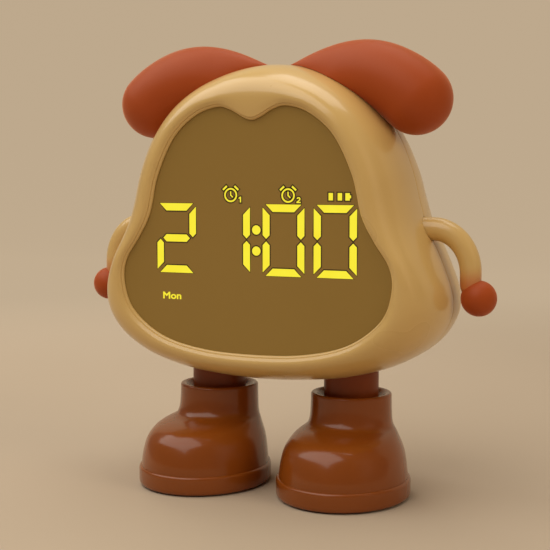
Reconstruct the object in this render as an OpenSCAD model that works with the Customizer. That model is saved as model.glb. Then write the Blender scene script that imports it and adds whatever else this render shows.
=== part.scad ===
// Puppy-shaped alarm clock with a night light: a hollow two-part body on two boots,
// with a lit number display behind a smoked lens, soft ears and turning arms.
// Millimetres. +Z is up and the display faces -Y.
// The origin is under the middle of the whole clock, on the surface it stands on.

/* [Body shells] */
// Width of the body across the cheeks
body_w = 127; // [120:1:134]
// Height of the body without ears and legs
body_h = 112; // [108:1:118]
// Height of the body's underside above the table
body_lift = 39.4; // [38.6:0.2:46]
// Depth that the front's round edge would reach at the window if its rim didn't fall back
front_depth = 31.6; // [30.6:0.2:34]
// How far the rim falls back there, behind its rounded crest
rim_fall = 3.2; // [2.6:0.2:3.8]
// Depth from the parting line back to the flat of the rear shell
back_depth = 28; // [27.6:0.2:34]
// How far the flat of the back lies inside the body's outline
back_inset = 22; // [20:0.5:24]
// Fullness of the body's round edges, where 2 is elliptical
edge_power = 2.3; // [2.1:0.1:2.6]
// Wall thickness of both shells
wall = 2.2; // [1.8:0.1:2.4]
// Height of the rear shell's tongue inside the front shell
tongue_h = 2.5; // [1.5:0.5:4]
// Thickness of that tongue
tongue_t = 1.1; // [0.8:0.1:1.4]
// Chamfer on both shells that makes the parting groove
groove = 0.35; // [0.2:0.05:0.5]

/* [Display] */
// Width of the display window
window_w = 99.8; // [96:0.2:102]
// Height of the display window
window_h = 84.8; // [82:0.2:87]
// Height of the window's lower edge above the body's underside
window_lift = 11.4; // [10.6:0.2:13]
// Width of the bevel round the window
bevel_w = 1.7; // [1:0.1:2.4]
// Depth of the lens face behind the window's edge
lens_sink = 1.4; // [1:0.2:2.2]
// Thickness of the smoked lens
lens_t = 2; // [1.6:0.2:2.2]
// Width of the ledge that the lens sits on
ledge_w = 3; // [2.4:0.2:3.4]
// Thickness of the diffuser film behind the lens
film_t = 0.5; // [0.3:0.1:0.6]
// Height of a number
digit_h = 24.4; // [22:0.2:25.6]
// Width of a number
digit_w = 15.3; // [14:0.1:15.6]
// Stroke of a number's segments
segment_t = 2.6; // [2:0.1:3]
// How far the segments' ends stop short of a number's corners
segment_gap = 1.1; // [0.6:0.1:1.4]
// Height of the numbers' lower edge above the window's lower edge
digit_lift = 27.4; // [26:0.2:29]
// Depth of the reflector block behind the film
reflector_d = 8.3; // [7:0.1:9]
// Thickness of both circuit boards
board_t = 1.6; // [1:0.2:1.6]

/* [Ears] */
// How far an ear's round end rises out of the body
ear_h = 25; // [22:0.5:26]
// Radius of an ear's round end
ear_end_r = 12.5; // [11:0.5:13]
// Direction of the round end's middle, from upright
ear_end_angle = 45; // [42:1:46]
// Direction of the ear's pointed tip, from upright
ear_tip_angle = 3.5; // [2:0.5:6]
// Half the depth of an ear, front to back
ear_half_depth = 13; // [10:0.5:14]
// How far the ears stand in front of the parting line
ear_forward = 2; // [0:0.5:4]
// Radius of the peg that holds an ear
ear_peg_r = 3.6; // [3:0.1:4]
// Direction of the ear pegs, from upright
ear_peg_angle = 27; // [25:1:30]
// Radius of the flange inside the shells that keeps a peg in
ear_flange_r = 5.7; // [5:0.1:6]

/* [Arms] */
// Height of the shoulder axis above the body's underside
shoulder_lift = 54.6; // [52:0.2:57]
// Radius of the arm at the shoulder
arm_r = 4.1; // [3.8:0.1:4.5]
// Radius of the arm at the wrist
wrist_r = 3.6; // [3:0.1:3.8]
// Width of the arm's bend, along its middle
arm_bend_w = 13; // [12:0.1:13.4]
// Height of the arm's bend, along its middle
arm_bend_h = 15; // [12:0.5:16]
// Gap between the body's cheek and the forearm
arm_gap = 2.4; // [2.2:0.1:5]
// Height of the hand's middle below the shoulder axis
arm_drop = 23.4; // [22:0.2:26]
// Radius of the round hand
hand_r = 6.2; // [5.8:0.1:6.8]
// How far the hand's middle stands outside the forearm's middle
hand_offset = 2.9; // [2.7:0.1:3.2]

/* [Legs and boots] */
// Distance between the two legs' middles
leg_spacing = 52.4; // [50:0.2:58]
// How far the legs stand behind the parting line
leg_set_back = 1.5; // [0:0.5:4]
// Radius of a leg
leg_r = 9.8; // [8:0.1:10.2]
// Wall of a leg tube
leg_wall = 2; // [1.5:0.1:3]
// Height of a boot
boot_h = 35; // [32:0.5:36]
// Radius of a boot's collar
collar_r = 14.5; // [13.5:0.1:16]
// Half the width of a sole
sole_half_w = 23.6; // [22:0.2:24.4]
// Reach of the toe in front of the leg's middle
toe_reach = 37; // [34:0.5:40]
// Reach of the heel behind the leg's middle
heel_reach = 16.2; // [15.6:0.2:19]
// Height of the sole's rim
sole_h = 7; // [5:0.5:9]
// How far the boot's upper is set in from the sole's rim
upper_inset = 0.9; // [0.5:0.1:1.5]
// Wall of a boot's upper
boot_wall = 2; // [1.5:0.1:2.3]
// Depth of the recess round the leg in a boot's collar
collar_sink = 1.2; // [0.8:0.1:1.8]
// Outward turn of each boot
toe_out = 4.5; // [0:0.5:8]
// Radius of a rubber foot pad
pad_r = 9; // [7:0.5:12]
// Thickness of a rubber foot pad
pad_t = 1.3; // [1:0.1:2]
// How far a pad stands below its sole
pad_proud = 0.5; // [0.3:0.1:0.8]

/* [Controls] */
// Radius of a button's cap
button_r = 4.2; // [3.5:0.1:4.4]
// Distance between two buttons
button_pitch = 12; // [11.4:0.2:12.6]
// Height of the button row above the body's underside
button_lift = 48.6; // [46:0.2:50]
// How far a cap stands out of the back
button_proud = 0.5; // [0.3:0.1:0.9]
// Travel of a button
button_travel = 0.6; // [0.3:0.1:0.6]
// Radius of the loudspeaker
speaker_r = 13; // [12:0.2:13.2]
// Height of the loudspeaker's middle above the hub of the body's outline
speaker_lift = 26.4; // [26:0.1:26.8]
// Radius of one hole in the grille
grille_hole_r = 0.9; // [0.6:0.1:1.1]
// Distance between two rings of grille holes
grille_pitch = 3.6; // [3:0.1:4]

/* [Electronics] */
// Width of the main board
main_board_w = 68; // [64:1:70]
// Height of the main board
main_board_h = 46; // [44:0.5:46.5]
// Height of the main board's lower edge above the body's underside
main_board_lift = 14.6; // [14:0.2:15.4]
// Gap between the main board and the rear wall, bridged by posts
board_standoff = 9.5; // [9:0.1:10]
// Width of the battery pouch
battery_w = 50; // [36:1:56]
// Height of the battery pouch
battery_h = 34; // [28:1:36]
// Thickness of the battery pouch
battery_t = 8; // [5:0.5:10]

/* [Fasteners and fits] */
// Radius of the case screws' shanks
case_screw_r = 1.4; // [1.2:0.1:1.5]
// Radius of the case screws' heads
case_head_r = 2.7; // [2.4:0.1:2.8]
// Radius of the small board screws' shanks
small_screw_r = 0.9; // [0.8:0.05:1]
// Running clearance round a turning or sliding piece
run_gap = 0.05; // [0.03:0.01:0.08]
// Clearance round a piece that only has to drop in
fit_gap = 0.15; // [0.1:0.05:0.2]
// Clearance between a soft or round piece and the shell it lies on
seat_gap = 0.3; // [0.2:0.05:0.4]

/* [Hidden] */

$fn = 48;
shell_color = "#d0a768";
lens_color = "#8a6a35";
glow_color = "#fff36b";
ear_color = "#a4512e";
boot_color = "#7c3814";
leg_color = "#55280f";
white_color = "#f1efe8";
black_color = "#26262a";
metal_color = "#b9bcc0";
board_color = "#1e5b3a";

// ---- Levels from front to back; the parting line of the shells is at 0 ----

lens_y = rim_fall + lens_sink - front_depth;
film_y = lens_y + lens_t;
reflector_y = film_y + film_t;
display_y = reflector_y + reflector_d;
display_back_y = display_y + board_t;
tape_t = 0.8;
battery_y = display_back_y + tape_t;
back_wall_y = back_depth - wall;
main_back_y = back_wall_y - board_standoff;
main_y = main_back_y - board_t;
post_gap = 0.15;

// ---- Heights ----

ring_n = 72;
edge_steps = 8;
hub_z = body_lift + 0.434 * body_h;
window_z = body_lift + window_lift;
digit_z = window_z + digit_lift;
icon_z = digit_z + digit_h + 3;
main_z = body_lift + main_board_lift;
button_z = body_lift + button_lift;
speaker_z = hub_z + speaker_lift;
shoulder_z = body_lift + shoulder_lift;
usb_z = main_z + 6;
leg_flange_z = body_lift + 7.6;
leg_flange_t = 2;

// The toes reach further than the back, so the whole clock moves back by half the difference.
sole_middle = (heel_reach - toe_reach) / 2;
sole_half_l = (heel_reach + toe_reach) / 2;
toe_y = leg_set_back + sole_middle * cos(toe_out)
    - norm([sole_half_l * cos(toe_out), sole_half_w * sin(toe_out)]);
body_y = -(toe_y + back_depth + button_proud) / 2;

// ---- Outlines, as per cent of half the width and of the height, down the right-hand side ----

body_outline = [[0, 100], [25.2, 97.5], [48.8, 90.6], [66.1, 80], [75.9, 68.1], [80.8, 57.7],
    [85, 49.6], [93.9, 38.5], [100, 28.2], [98.6, 20.4], [89, 12.6], [70.9, 6.3], [47.2, 2.3],
    [23.6, 0.6], [0, 0]];
// The window starts in the notch between its two brows.
window_outline = [[0, 94.6], [6, 95.6], [16, 98.8], [26, 100], [42, 96.9], [59.1, 88.1],
    [72.1, 72.8], [78.8, 56.8], [87.4, 47.1], [98, 37.4], [100, 27.9], [92.8, 16.3],
    [70.1, 6.1], [38, 1.2], [0, 0]];
// The rim's roll runs across the notch, which only dips its inner edge.
bridge_outline = concat([[0, 101.8], [13, 101.4]],
    [for (k = [3:len(window_outline) - 1]) window_outline[k]]);

function spline(p0, p1, p2, p3, t) =
    0.5 * (2 * p1 + (p2 - p0) * t + (2 * p0 - 5 * p1 + 4 * p2 - p3) * t * t
        + (3 * p1 - p0 - 3 * p2 + p3) * t * t * t);
function flip_x(p) = [-p[0], p[1]];
function half_curve(p, steps) = let (last = len(p) - 1) concat(
    [for (i = [0:last - 1], k = [0:steps - 1])
        spline(i == 0 ? flip_x(p[1]) : p[i - 1], p[i], p[i + 1],
            i == last - 1 ? flip_x(p[last - 1]) : p[i + 2], k / steps)],
    [p[last]]);
function sized(outline, w, h, z) = [for (p = outline) [p[0] * w / 200, z + p[1] * h / 100]];
// Direction from upright, and distance from the hub.
function polar(points) = [for (p = points) [atan2(p[0], p[1] - hub_z), norm([p[0], p[1] - hub_z])]];
body_table = polar(half_curve(sized(body_outline, body_w, body_h, body_lift), 5));
window_table = polar(half_curve(sized(window_outline, window_w, window_h, window_z), 5));
bridge_table = polar(half_curve(sized(bridge_outline, window_w, window_h, window_z), 5));
function body_r(a) = lookup(abs(a), body_table);
function window_r(a) = lookup(abs(a), window_table);
function bridge_r(a) = lookup(abs(a), bridge_table);

// ---- Round edges, which run from the outline (t = 0) to a flat (t = 1) ----

function edge_in(t) = 1 - pow(cos(90 * t), 2 / edge_power);
function edge_out(t) = pow(sin(90 * t), 2 / edge_power);
function edge_in_at(share) = 1 - pow(1 - pow(min(share, 1), edge_power), 1 / edge_power);
// The body's surface in the direction a, at the depth y.
function surface_r(a, y) = body_r(a) - (y < 0
    ? (body_r(a) - bridge_r(a) - bevel_w) * edge_in_at(-y / front_depth)
    : back_inset * edge_in_at(y / back_depth));

// The rings' points lie closest at the top, where the window has its notch.
ring_angles = [for (i = [1 - ring_n / 2:ring_n / 2])
    180 * sign(i) * pow(abs(2 * i / ring_n), 1.3)];
// A ring round the body: inset from its outline, and moved by the share g to the window's outline.
function ring(y, inset, g = 0, lap = 0) = [for (a = ring_angles)
    let (inner = bridge_r(a) + (window_r(a) - bridge_r(a)) * pow(g, 6) + lap,
        r = (body_r(a) - inset) * (1 - g) + inner * g)
    [r * sin(a), y, hub_z + r * cos(a)]];
// The front's rim is a round roll: past its crest it falls back towards the window.
function front_rings(depth, inset, lap, fall) = [for (k = [0:edge_steps]) let (t = k / edge_steps)
    ring(fall * pow(edge_in(t), 3) - depth * edge_out(t), inset, edge_in(t), lap)];
function back_rings(depth, inset, span) = [for (k = [0:edge_steps]) let (t = k / edge_steps)
    ring(depth * edge_out(t), inset + span * edge_in(t))];
function turned(list) = [for (i = [len(list) - 1:-1:0]) list[i]];

// A closed solid through rings of equally many points. With two poles its ends are fans.
module loft(rings, poles) {
    n = len(rings[0]);
    m = len(rings);
    sides = [for (k = [0:m - (is_undef(poles) ? 1 : 2)], i = [0:n - 1])
        let (a = k * n, b = ((k + 1) % m) * n, j = (i + 1) % n)
        each [[a + i, a + j, b + j], [a + i, b + j, b + i]]];
    caps = is_undef(poles) ? [] : [for (i = [0:n - 1]) let (j = (i + 1) % n)
        each [[j, i, m * n], [(m - 1) * n + i, (m - 1) * n + j, m * n + 1]]];
    polyhedron(concat([for (r = rings) each r], is_undef(poles) ? [] : poles), concat(sides, caps));
}

// A round rod through points, with a radius at each and flat facets all round.
// No stretch of it runs along the vector across.
module rod(path, radii, sides, across) {
    last = len(path) - 1;
    rings = [for (k = [0:last])
        let (along = path[min(k + 1, last)] - path[max(k - 1, 0)],
            u = cross(along, across),
            v = cross(along, u))
        [for (i = [0:sides - 1]) path[k] + radii[k]
            * (cos(360 * i / sides) * u / norm(u) - sin(360 * i / sides) * v / norm(v))]];
    loft(rings, [path[0], path[last]]);
}

// ---- Placing ----

module piece(tint) color(tint) translate([0, body_y, 0]) children();
module y_bar(r, x, z, y1, y2) translate([x, y1, z]) rotate([-90, 0, 0]) cylinder(r = r, h = y2 - y1);
module z_bar(r, x, y, z1, z2) translate([x, y, z1]) cylinder(r = r, h = z2 - z1);
module x_bar(r, y, z, x1, x2) translate([x1, y, z]) rotate([0, 90, 0]) cylinder(r = r, h = x2 - x1);
// A flat shape drawn as [x, z], made solid between two depths.
module y_plate(y1, y2) translate([0, y2, 0]) rotate([90, 0, 0]) linear_extrude(y2 - y1) children();
module box(x1, x2, y1, y2, z1, z2) translate([x1, y1, z1]) cube([x2 - x1, y2 - y1, z2 - z1]);
module on_both_sides() for (side = [-1, 1]) mirror([side < 0 ? 1 : 0, 0, 0]) children();
module stadium(x, z, w, h) translate([x, z]) {
    square([w - h, h], center = true);
    for (s = [-1, 1]) translate([s * (w - h) / 2, 0]) circle(r = h / 2);
}

// A screw along Y with a cross recess: dir is 1 where the head looks to the back.
module screw(x, z, seat_y, dir, head_r, head_h, shank_r, length) difference() {
    union() {
        y_bar(head_r, x, z, min(seat_y, seat_y + dir * head_h), max(seat_y, seat_y + dir * head_h));
        y_bar(shank_r, x, z, min(seat_y, seat_y - dir * length), max(seat_y, seat_y - dir * length));
    }
    for (turn = [0, 90]) translate([x, seat_y + dir * head_h, z]) rotate([0, turn, 0])
        cube([head_r * 1.2, head_h, head_r * 0.3], center = true);
}

// ---- Screws, posts and joints inside the shells ----

lens_lap = ledge_w - 0.5;
tongue_inset = wall + 0.3;
case_post_r = case_screw_r + 1.5;
case_well_r = case_head_r + 0.3;
case_head_y = 8;
case_head_h = 2;
// The case screws stand midway between the tongue and the lens.
case_screw_places = [for (a = [-118, -46.5, 46.5, 118])
    let (r = (body_r(a) - tongue_inset - tongue_t + window_r(a) + lens_lap) / 2)
    [r * sin(a), hub_z + r * cos(a)]];
display_post_r = small_screw_r + 1.2;
display_screw_x = window_r(77.8) * sin(77.8) + 5.3;
display_screw_z = hub_z + window_r(77.8) * cos(77.8) + 1.3;
board_screw_places = [for (sx = [-1, 1], top = [0, 1])
    [sx * (main_board_w / 2 - 4), main_z + (top ? main_board_h - 4 : 4)]];
board_post_r = small_screw_r + 1.8;
board_head_h = 1.4;
leg_flange_r = leg_r + 2.5;
leg_boss_r = leg_flange_r + seat_gap + 1.8;
leg_flange_gap = 0.1;
leg_top_z = leg_flange_z + leg_flange_t;
stub_x = body_r(90) - 8.8;
washer_t = 0.8;
washer_r = arm_r + 1.7;
arm_flange_t = 2;
arm_flange_x = stub_x - washer_t - 0.1;
shoulder_boss_r = washer_r + 1.2;

module ear_axis() translate([body_r(ear_peg_angle) * sin(ear_peg_angle), 0,
    hub_z + body_r(ear_peg_angle) * cos(ear_peg_angle)]) rotate([0, ear_peg_angle + 4, 0]) children();

module joint_bosses() on_both_sides() {
    z_bar(leg_boss_r, leg_spacing / 2, leg_set_back, body_lift - 2, leg_top_z + 2);
    x_bar(shoulder_boss_r, 0, shoulder_z, stub_x, body_r(90) + 4);
}

module joint_holes() on_both_sides() {
    ear_axis() {
        translate([0, 0, -wall - 2]) cylinder(r = ear_peg_r + fit_gap, h = wall + 5);
        translate([0, 0, -wall - seat_gap - 8]) cylinder(r = ear_flange_r + seat_gap, h = 8);
    }
    x_bar(arm_r + run_gap, 0, shoulder_z, stub_x - 1, body_r(90) + 8);
    x_bar(shoulder_boss_r, 0, shoulder_z, stub_x - 8, stub_x);
    z_bar(leg_r + fit_gap, leg_spacing / 2, leg_set_back, body_lift - 5, leg_flange_z + 0.5);
    z_bar(leg_flange_r + fit_gap, leg_spacing / 2, leg_set_back, leg_flange_z, leg_top_z + leg_flange_gap);
}

// ---- Shells ----

module front_core() loft(front_rings(front_depth - wall / 2, wall / 2, bevel_w + wall / 2, rim_fall),
    [[0, 0, hub_z], [0, rim_fall + wall / 2 - front_depth, hub_z]]);

module front_shell() piece(shell_color) difference() {
    union() {
        loft(concat(
            [ring(0, groove), ring(-groove, 0)],
            [for (k = [1:edge_steps]) front_rings(front_depth, 0, bevel_w, rim_fall)[k]],
            [for (t = [1 / 3, 2 / 3, 1])
                ring(lens_y - lens_sink * cos(90 * t), 0, 1, bevel_w * (1 - sin(90 * t)))],
            turned(front_rings(front_depth - wall, wall, ledge_w, front_depth - wall + lens_y))));
        intersection() {
            front_core();
            union() {
                for (p = case_screw_places) y_bar(case_post_r, p[0], p[1], -front_depth, -post_gap);
                on_both_sides()
                    y_bar(display_post_r, display_screw_x, display_screw_z, -front_depth, display_y);
                difference() {
                    joint_bosses();
                    box(-body_w, body_w, -post_gap, back_depth, 0, body_lift + body_h);
                }
            }
        }
    }
    for (p = case_screw_places) y_bar(case_screw_r + run_gap, p[0], p[1], -14, 1);
    on_both_sides() y_bar(small_screw_r + run_gap, display_screw_x, display_screw_z, display_y - 6, 0);
    joint_holes();
}

module back_core() loft(turned(back_rings(back_depth - wall / 2, wall / 2, back_inset - 0.5)),
    [[0, back_depth - wall / 2, hub_z], [0, 0, hub_z]]);

module rear_shell() piece(shell_color) difference() {
    union() {
        loft(concat(
            [for (k = [edge_steps:-1:1]) back_rings(back_depth, 0, back_inset)[k]],
            [ring(groove, 0), ring(0, groove), ring(0, tongue_inset),
                ring(-tongue_h, tongue_inset), ring(-tongue_h, tongue_inset + tongue_t),
                ring(2, tongue_inset + tongue_t), ring(3.6, wall + 0.1)],
            [for (k = [2:edge_steps]) back_rings(back_wall_y, wall, back_inset - 1)[k]]),
            [[0, back_depth, hub_z], [0, back_wall_y, hub_z]]);
        intersection() {
            back_core();
            union() {
                for (p = case_screw_places) y_bar(case_well_r + 1, p[0], p[1], post_gap, back_depth);
                difference() {
                    joint_bosses();
                    box(-body_w, body_w, -front_depth, post_gap, 0, body_lift + body_h);
                }
            }
        }
        for (p = board_screw_places) y_bar(board_post_r, p[0], p[1], main_back_y, back_wall_y + wall / 2);
    }
    // The tongue stops on either side of the front shell's bosses.
    on_both_sides() {
        box(leg_spacing / 2 - leg_boss_r - fit_gap, leg_spacing / 2 + leg_boss_r + fit_gap, -tongue_h - 1, -0.05,
            body_lift, leg_top_z + 3);
        box(stub_x, body_r(90), -tongue_h - 1, -0.05, shoulder_z - shoulder_boss_r - fit_gap,
            shoulder_z + shoulder_boss_r + fit_gap);
    }
    for (p = case_screw_places) {
        y_bar(case_screw_r + 0.25, p[0], p[1], -1, case_head_y + 1);
        y_bar(case_well_r, p[0], p[1], case_head_y, back_depth + 1);
    }
    for (p = board_screw_places) y_bar(small_screw_r + run_gap, p[0], p[1], main_back_y - 1, main_back_y + 7);
    for (i = [-2:2]) y_bar(button_r + fit_gap, i * button_pitch, button_z, back_wall_y - 1, back_depth + 1);
    // A flat seat for the loudspeaker's gasket, also where the back curves in.
    y_bar(speaker_r + fit_gap, 0, speaker_z, back_wall_y - 10, back_wall_y);
    grille_holes();
    y_plate(back_wall_y - 1, back_depth + 1) stadium(0, usb_z, usb_w + 0.6, usb_h + 0.6);
    joint_holes();
}

module grille_holes() {
    y_bar(grille_hole_r, 0, speaker_z, back_wall_y - 1, back_depth + 1);
    for (k = [1:2], i = [0:6 * k - 1])
        y_bar(grille_hole_r, k * grille_pitch * sin(60 * i / k), speaker_z + k * grille_pitch * cos(60 * i / k),
            back_wall_y - 1, back_depth + 1);
}

// ---- Display ----

digit_x = [-29, -8.4, 11.6, 30.2];
TWO = [0, 1, 3, 4, 6];
ONE = [1, 2];
NOUGHT = [0, 1, 2, 3, 4, 5];
shown = [TWO, ONE, NOUGHT, NOUGHT];
colon_x = (digit_x[1] + digit_x[2]) / 2;
colon_r = 1.6;
bar_x = [28.6, 31.8, 34.5];
bar_w = 1.6;
bar_h = 2.5;
lit_t = 0.5;
segment_tip_gap = 0.4;

function flip_z(points, h) = turned([for (p = points) [p[0], h - p[1]]]);
function flip_wide(points) = turned([for (p = points) [-p[0], p[1]]]);
// The seven segments: top, upper right, lower right, bottom, lower left, upper left, middle.
// Their ends are cut at 45 degrees, g from the corners, and meet in points at half height.
function segment(k, w, h, t, g) =
    k == 0 ? [[g - w / 2, h], [w / 2 - g, h], [w / 2 - t - g, h - t], [t + g - w / 2, h - t]]
    : k == 3 ? flip_z(segment(0, w, h, t, g), h)
    : k == 5 ? let (tip = h / 2 + segment_tip_gap) [[-w / 2, h - g], [t - w / 2, h - t - g],
        [t - w / 2, tip + t / 2], [t / 2 - w / 2, tip], [-w / 2, tip + t / 2]]
    : k == 1 ? flip_wide(segment(5, w, h, t, g))
    : k == 4 ? flip_z(segment(5, w, h, t, g), h)
    : k == 2 ? flip_wide(segment(4, w, h, t, g))
    : [[t / 2 + g - w / 2, h / 2], [t + g - w / 2, (h + t) / 2], [w / 2 - t - g, (h + t) / 2],
        [w / 2 - t / 2 - g, h / 2], [w / 2 - t - g, (h - t) / 2], [t + g - w / 2, (h - t) / 2]];
module digit_part(i, k) translate([digit_x[i], digit_z])
    polygon(segment(k, digit_w, digit_h, segment_t, segment_gap));
module colon() for (z = [digit_h / 2 - 3.8, digit_h / 2 + 3.4]) translate([colon_x, digit_z + z]) children();
// The alarms' own small numbers, as outlines from their lower left corners.
SMALL_ONE = [[0.45, 0], [0.95, 0], [0.95, 2], [0.55, 2], [0, 1.6], [0, 1.15], [0.45, 1.4]];
SMALL_TWO = [[0, 0], [1.6, 0], [1.6, 0.45], [0.8, 0.45], [1.45, 1.05], [1.55, 1.45], [1.3, 1.9], [0.8, 2.05],
    [0.3, 1.9], [0.05, 1.45], [0.5, 1.35], [0.8, 1.6], [1.05, 1.4], [0.95, 1.15], [0, 0.4]];
small_number_x = 3;
small_number_z = -2.5;
module small_number(x, outline) translate([x + small_number_x, icon_z + small_number_z]) polygon(outline);

icon_x = [-8, 13.3];
// A small alarm clock: a ring with two hands and two bells.
module alarm_icon(x, play) translate([x, icon_z]) {
    difference() {
        circle(r = 2.45 + play);
        circle(r = 1.85 - play);
    }
    polygon([[-0.25, 1.3], [0.25, 1.3], [0.25, 0.1], [1, -0.6], [0.65, -0.95], [-0.25, -0.1]]);
    for (s = [-1, 1]) rotate(s * 42) translate([-1, 2.9]) square([2, 0.7]);
}

module lit_shapes(play = 0) {
    for (i = [0:3], k = shown[i]) digit_part(i, k);
    colon() circle(r = colon_r + play);
    for (k = [0, 1]) {
        alarm_icon(icon_x[k], play);
        small_number(icon_x[k], [SMALL_ONE, SMALL_TWO][k]);
    }
    for (x = bar_x) translate([x - bar_w / 2, icon_z - 1.5]) square([bar_w, bar_h]);
    // The last bar has the battery's nub.
    translate([bar_x[2] + bar_w / 2 - 0.1, icon_z - 1.5 + bar_h / 2 - 0.5]) square([0.55, 1]);
}

module face_lens() piece(lens_color) difference() {
    y_plate(lens_y, lens_y + lens_t) polygon([for (a = ring_angles) let (r = window_r(a) + lens_lap)
        [r * sin(a), hub_z + r * cos(a)]]);
    y_plate(lens_y - 1, lens_y + lit_t) lit_shapes(run_gap);
}
module lit_marks() piece(glow_color) y_plate(lens_y, lens_y + lit_t) lit_shapes();
module diffuser_film() piece(white_color) y_plate(film_y, reflector_y)
    polygon([for (a = ring_angles) let (r = window_r(a) + lens_lap - 0.4) [r * sin(a), hub_z + r * cos(a)]]);

reflector_half_w = max(-digit_x[0], digit_x[3]) + digit_w / 2 + 2.2;
reflector_low = digit_z - 10;
reflector_high = icon_z + 4.2;
module digit_reflector() piece(white_color) difference() {
    box(-reflector_half_w, reflector_half_w, reflector_y, display_y, reflector_low, reflector_high);
    y_plate(reflector_y - 1, display_y + 1) {
        for (i = [0:3], k = [0:6]) digit_part(i, k);
        colon() circle(r = colon_r);
        for (x = icon_x) translate([x - 3.2, icon_z - 3.2]) square([8.6, 6.4]);
        translate([bar_x[0] - bar_w / 2 - 0.6, icon_z - 2.1]) square([bar_x[2] - bar_x[0] + 3.2, 3.8]);
        translate([-35, digit_z - 8]) square([8.6, 3.4]);
    }
}

led_strip = 7.2;
display_low = reflector_low - led_strip;
display_high = reflector_high + led_strip;
module display_board() piece(board_color) difference() {
    y_plate(display_y, display_back_y) {
        translate([-reflector_half_w, display_low]) square([2 * reflector_half_w, display_high - display_low]);
        for (s = [-1, 1]) {
            translate([s * display_screw_x, display_screw_z]) circle(r = 3.1);
            translate([s * (reflector_half_w + display_screw_x) / 2, display_screw_z])
                square([display_screw_x - reflector_half_w + 1, 6.2], center = true);
        }
    }
    on_both_sides()
        y_bar(small_screw_r + 0.2, display_screw_x, display_screw_z, display_y - 1, display_back_y + 1);
}
module display_screws() piece(metal_color) on_both_sides()
    screw(display_screw_x, display_screw_z, display_back_y, 1, 1.8, board_head_h, small_screw_r, 6.5);

function centre(points) = [for (k = [0, 1]) [for (p = points) p[k]] * [for (p = points) 1 / len(points)]];
module led(x, z, w, h) box(x - w / 2, x + w / 2, display_y - 0.8, display_y, z - h / 2, z + h / 2);
module display_leds() piece(glow_color) {
    for (i = [0:3], k = [0:6])
        let (c = centre(segment(k, digit_w, digit_h, segment_t, segment_gap)), flat = k % 3 == 0)
        led(digit_x[i] + c[0], digit_z + c[1], flat ? 1.6 : 0.8, flat ? 0.8 : 1.6);
    for (z = [digit_h / 2 - 3.8, digit_h / 2 + 3.4]) led(colon_x, digit_z + z, 1.6, 0.8);
    for (x = [-6, 15.3, 31.3]) led(x, icon_z, 1.6, 0.8);
    led(-31, digit_z - 6.3, 1.6, 0.8);
}
module night_light_leds() piece(white_color)
    for (i = [-1.5:1.5], z = [display_low + led_strip / 2, display_high - led_strip / 2])
        led(i * 17, z, 3.5, 2.8);

// ---- Battery, boards and leads ----

battery_z = reflector_low + 2.4;
battery_top_z = battery_z + battery_h;
module battery_tape() piece(white_color)
    box(-battery_w / 2 + 5, battery_w / 2 - 5, display_back_y, battery_y, battery_z + 4, battery_top_z - 4);
module battery_pouch() piece(metal_color) y_plate(battery_y, battery_y + battery_t) translate([0, battery_z])
    for (s = [0, 1]) translate([-battery_w / 2 + s * 2, 2 - s * 2])
        square([battery_w - s * 4, battery_h - 4 + s * 4]);

plug_x = 18;
plug_h = 5;
plug_d = 4.6;
plug_z = main_z + main_board_h - 8;
plug_y = main_y - plug_d / 2;
module board_connectors() piece(white_color) {
    for (s = [-1, 1]) box(s * plug_x - 4, s * plug_x + 4, main_y - plug_d, main_y, plug_z, plug_z + plug_h);
    box(-8, 8, display_back_y, display_back_y + 2, ribbon_z - 2, ribbon_z + 2);
    box(-8, 8, main_y - 2, main_y, ribbon_z - 2, ribbon_z + 2);
}
ribbon_z = main_z + 7.5;
ribbon_sag = 3.4;
ribbon_t = 0.3;
ribbon_y1 = display_back_y + 2;
ribbon_y2 = main_y - 2;
module ribbon_cable() piece(white_color) translate([-6, 0, 0]) rotate([90, 0, 90]) linear_extrude(12)
    let (line = [for (s = [0:0.1:1])
        [ribbon_y1 + s * (ribbon_y2 - ribbon_y1), ribbon_z - ribbon_sag * sin(180 * s)]])
    polygon(concat(line, turned([for (p = line) [p[0], p[1] + ribbon_t]])));

module battery_lead() piece("#b02a20") rod([[plug_x, battery_y + battery_t / 2, battery_top_z],
    [plug_x, battery_y + battery_t / 2, battery_top_z + 3], [plug_x, -4, battery_top_z + 7],
    [plug_x, 5, battery_top_z + 7], [plug_x, plug_y, battery_top_z + 3], [plug_x, plug_y, plug_z + plug_h]],
    [for (i = [1:6]) 0.9], 8, [1, 0, 0]);
// The lead passes over the board's upper edge.
lead_r = 0.7;
lead_over_z = main_z + main_board_h + 2 * lead_r;
module speaker_lead() piece(black_color) rod([[-speaker_r - 0.1, speaker_flange_y + lead_r, speaker_z],
    [-speaker_r - 1.6, speaker_flange_y + lead_r, speaker_z],
    [-speaker_r - 4, speaker_flange_y - 5, (speaker_z + lead_over_z) / 2],
    [-plug_x, plug_y, lead_over_z], [-plug_x, plug_y, plug_z + plug_h]],
    [for (i = [1:5]) lead_r], 8, [0, 1, 0]);

module main_board() piece(board_color) difference() {
    box(-main_board_w / 2, main_board_w / 2, main_y, main_back_y, main_z, main_z + main_board_h);
    for (p = board_screw_places) y_bar(small_screw_r + 0.2, p[0], p[1], main_y - 1, main_back_y + 1);
}
module board_screws() piece(metal_color) for (p = board_screw_places)
    screw(p[0], p[1], main_y, -1, 1.8, board_head_h, small_screw_r, 6.5);
module chip(x, z, w, h, t) box(x - w / 2, x + w / 2, main_y - t, main_y, z - h / 2, z + h / 2);
module board_chips() piece(black_color) {
    chip(-2, main_z + 25, 10, 10, 1.4);
    chip(-20, main_z + 18, 5, 4, 1.5);
    chip(18, main_z + 18, 5, 4, 1.5);
    chip(26, main_z + 24, 6, 6, 3);
    chip(-8, main_z + 36, 5, 3.2, 1.2);
}
module tap_sensor() piece(metal_color) x_bar(2.2, main_y - 2.2, main_z + 28, -30, -18);

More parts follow.
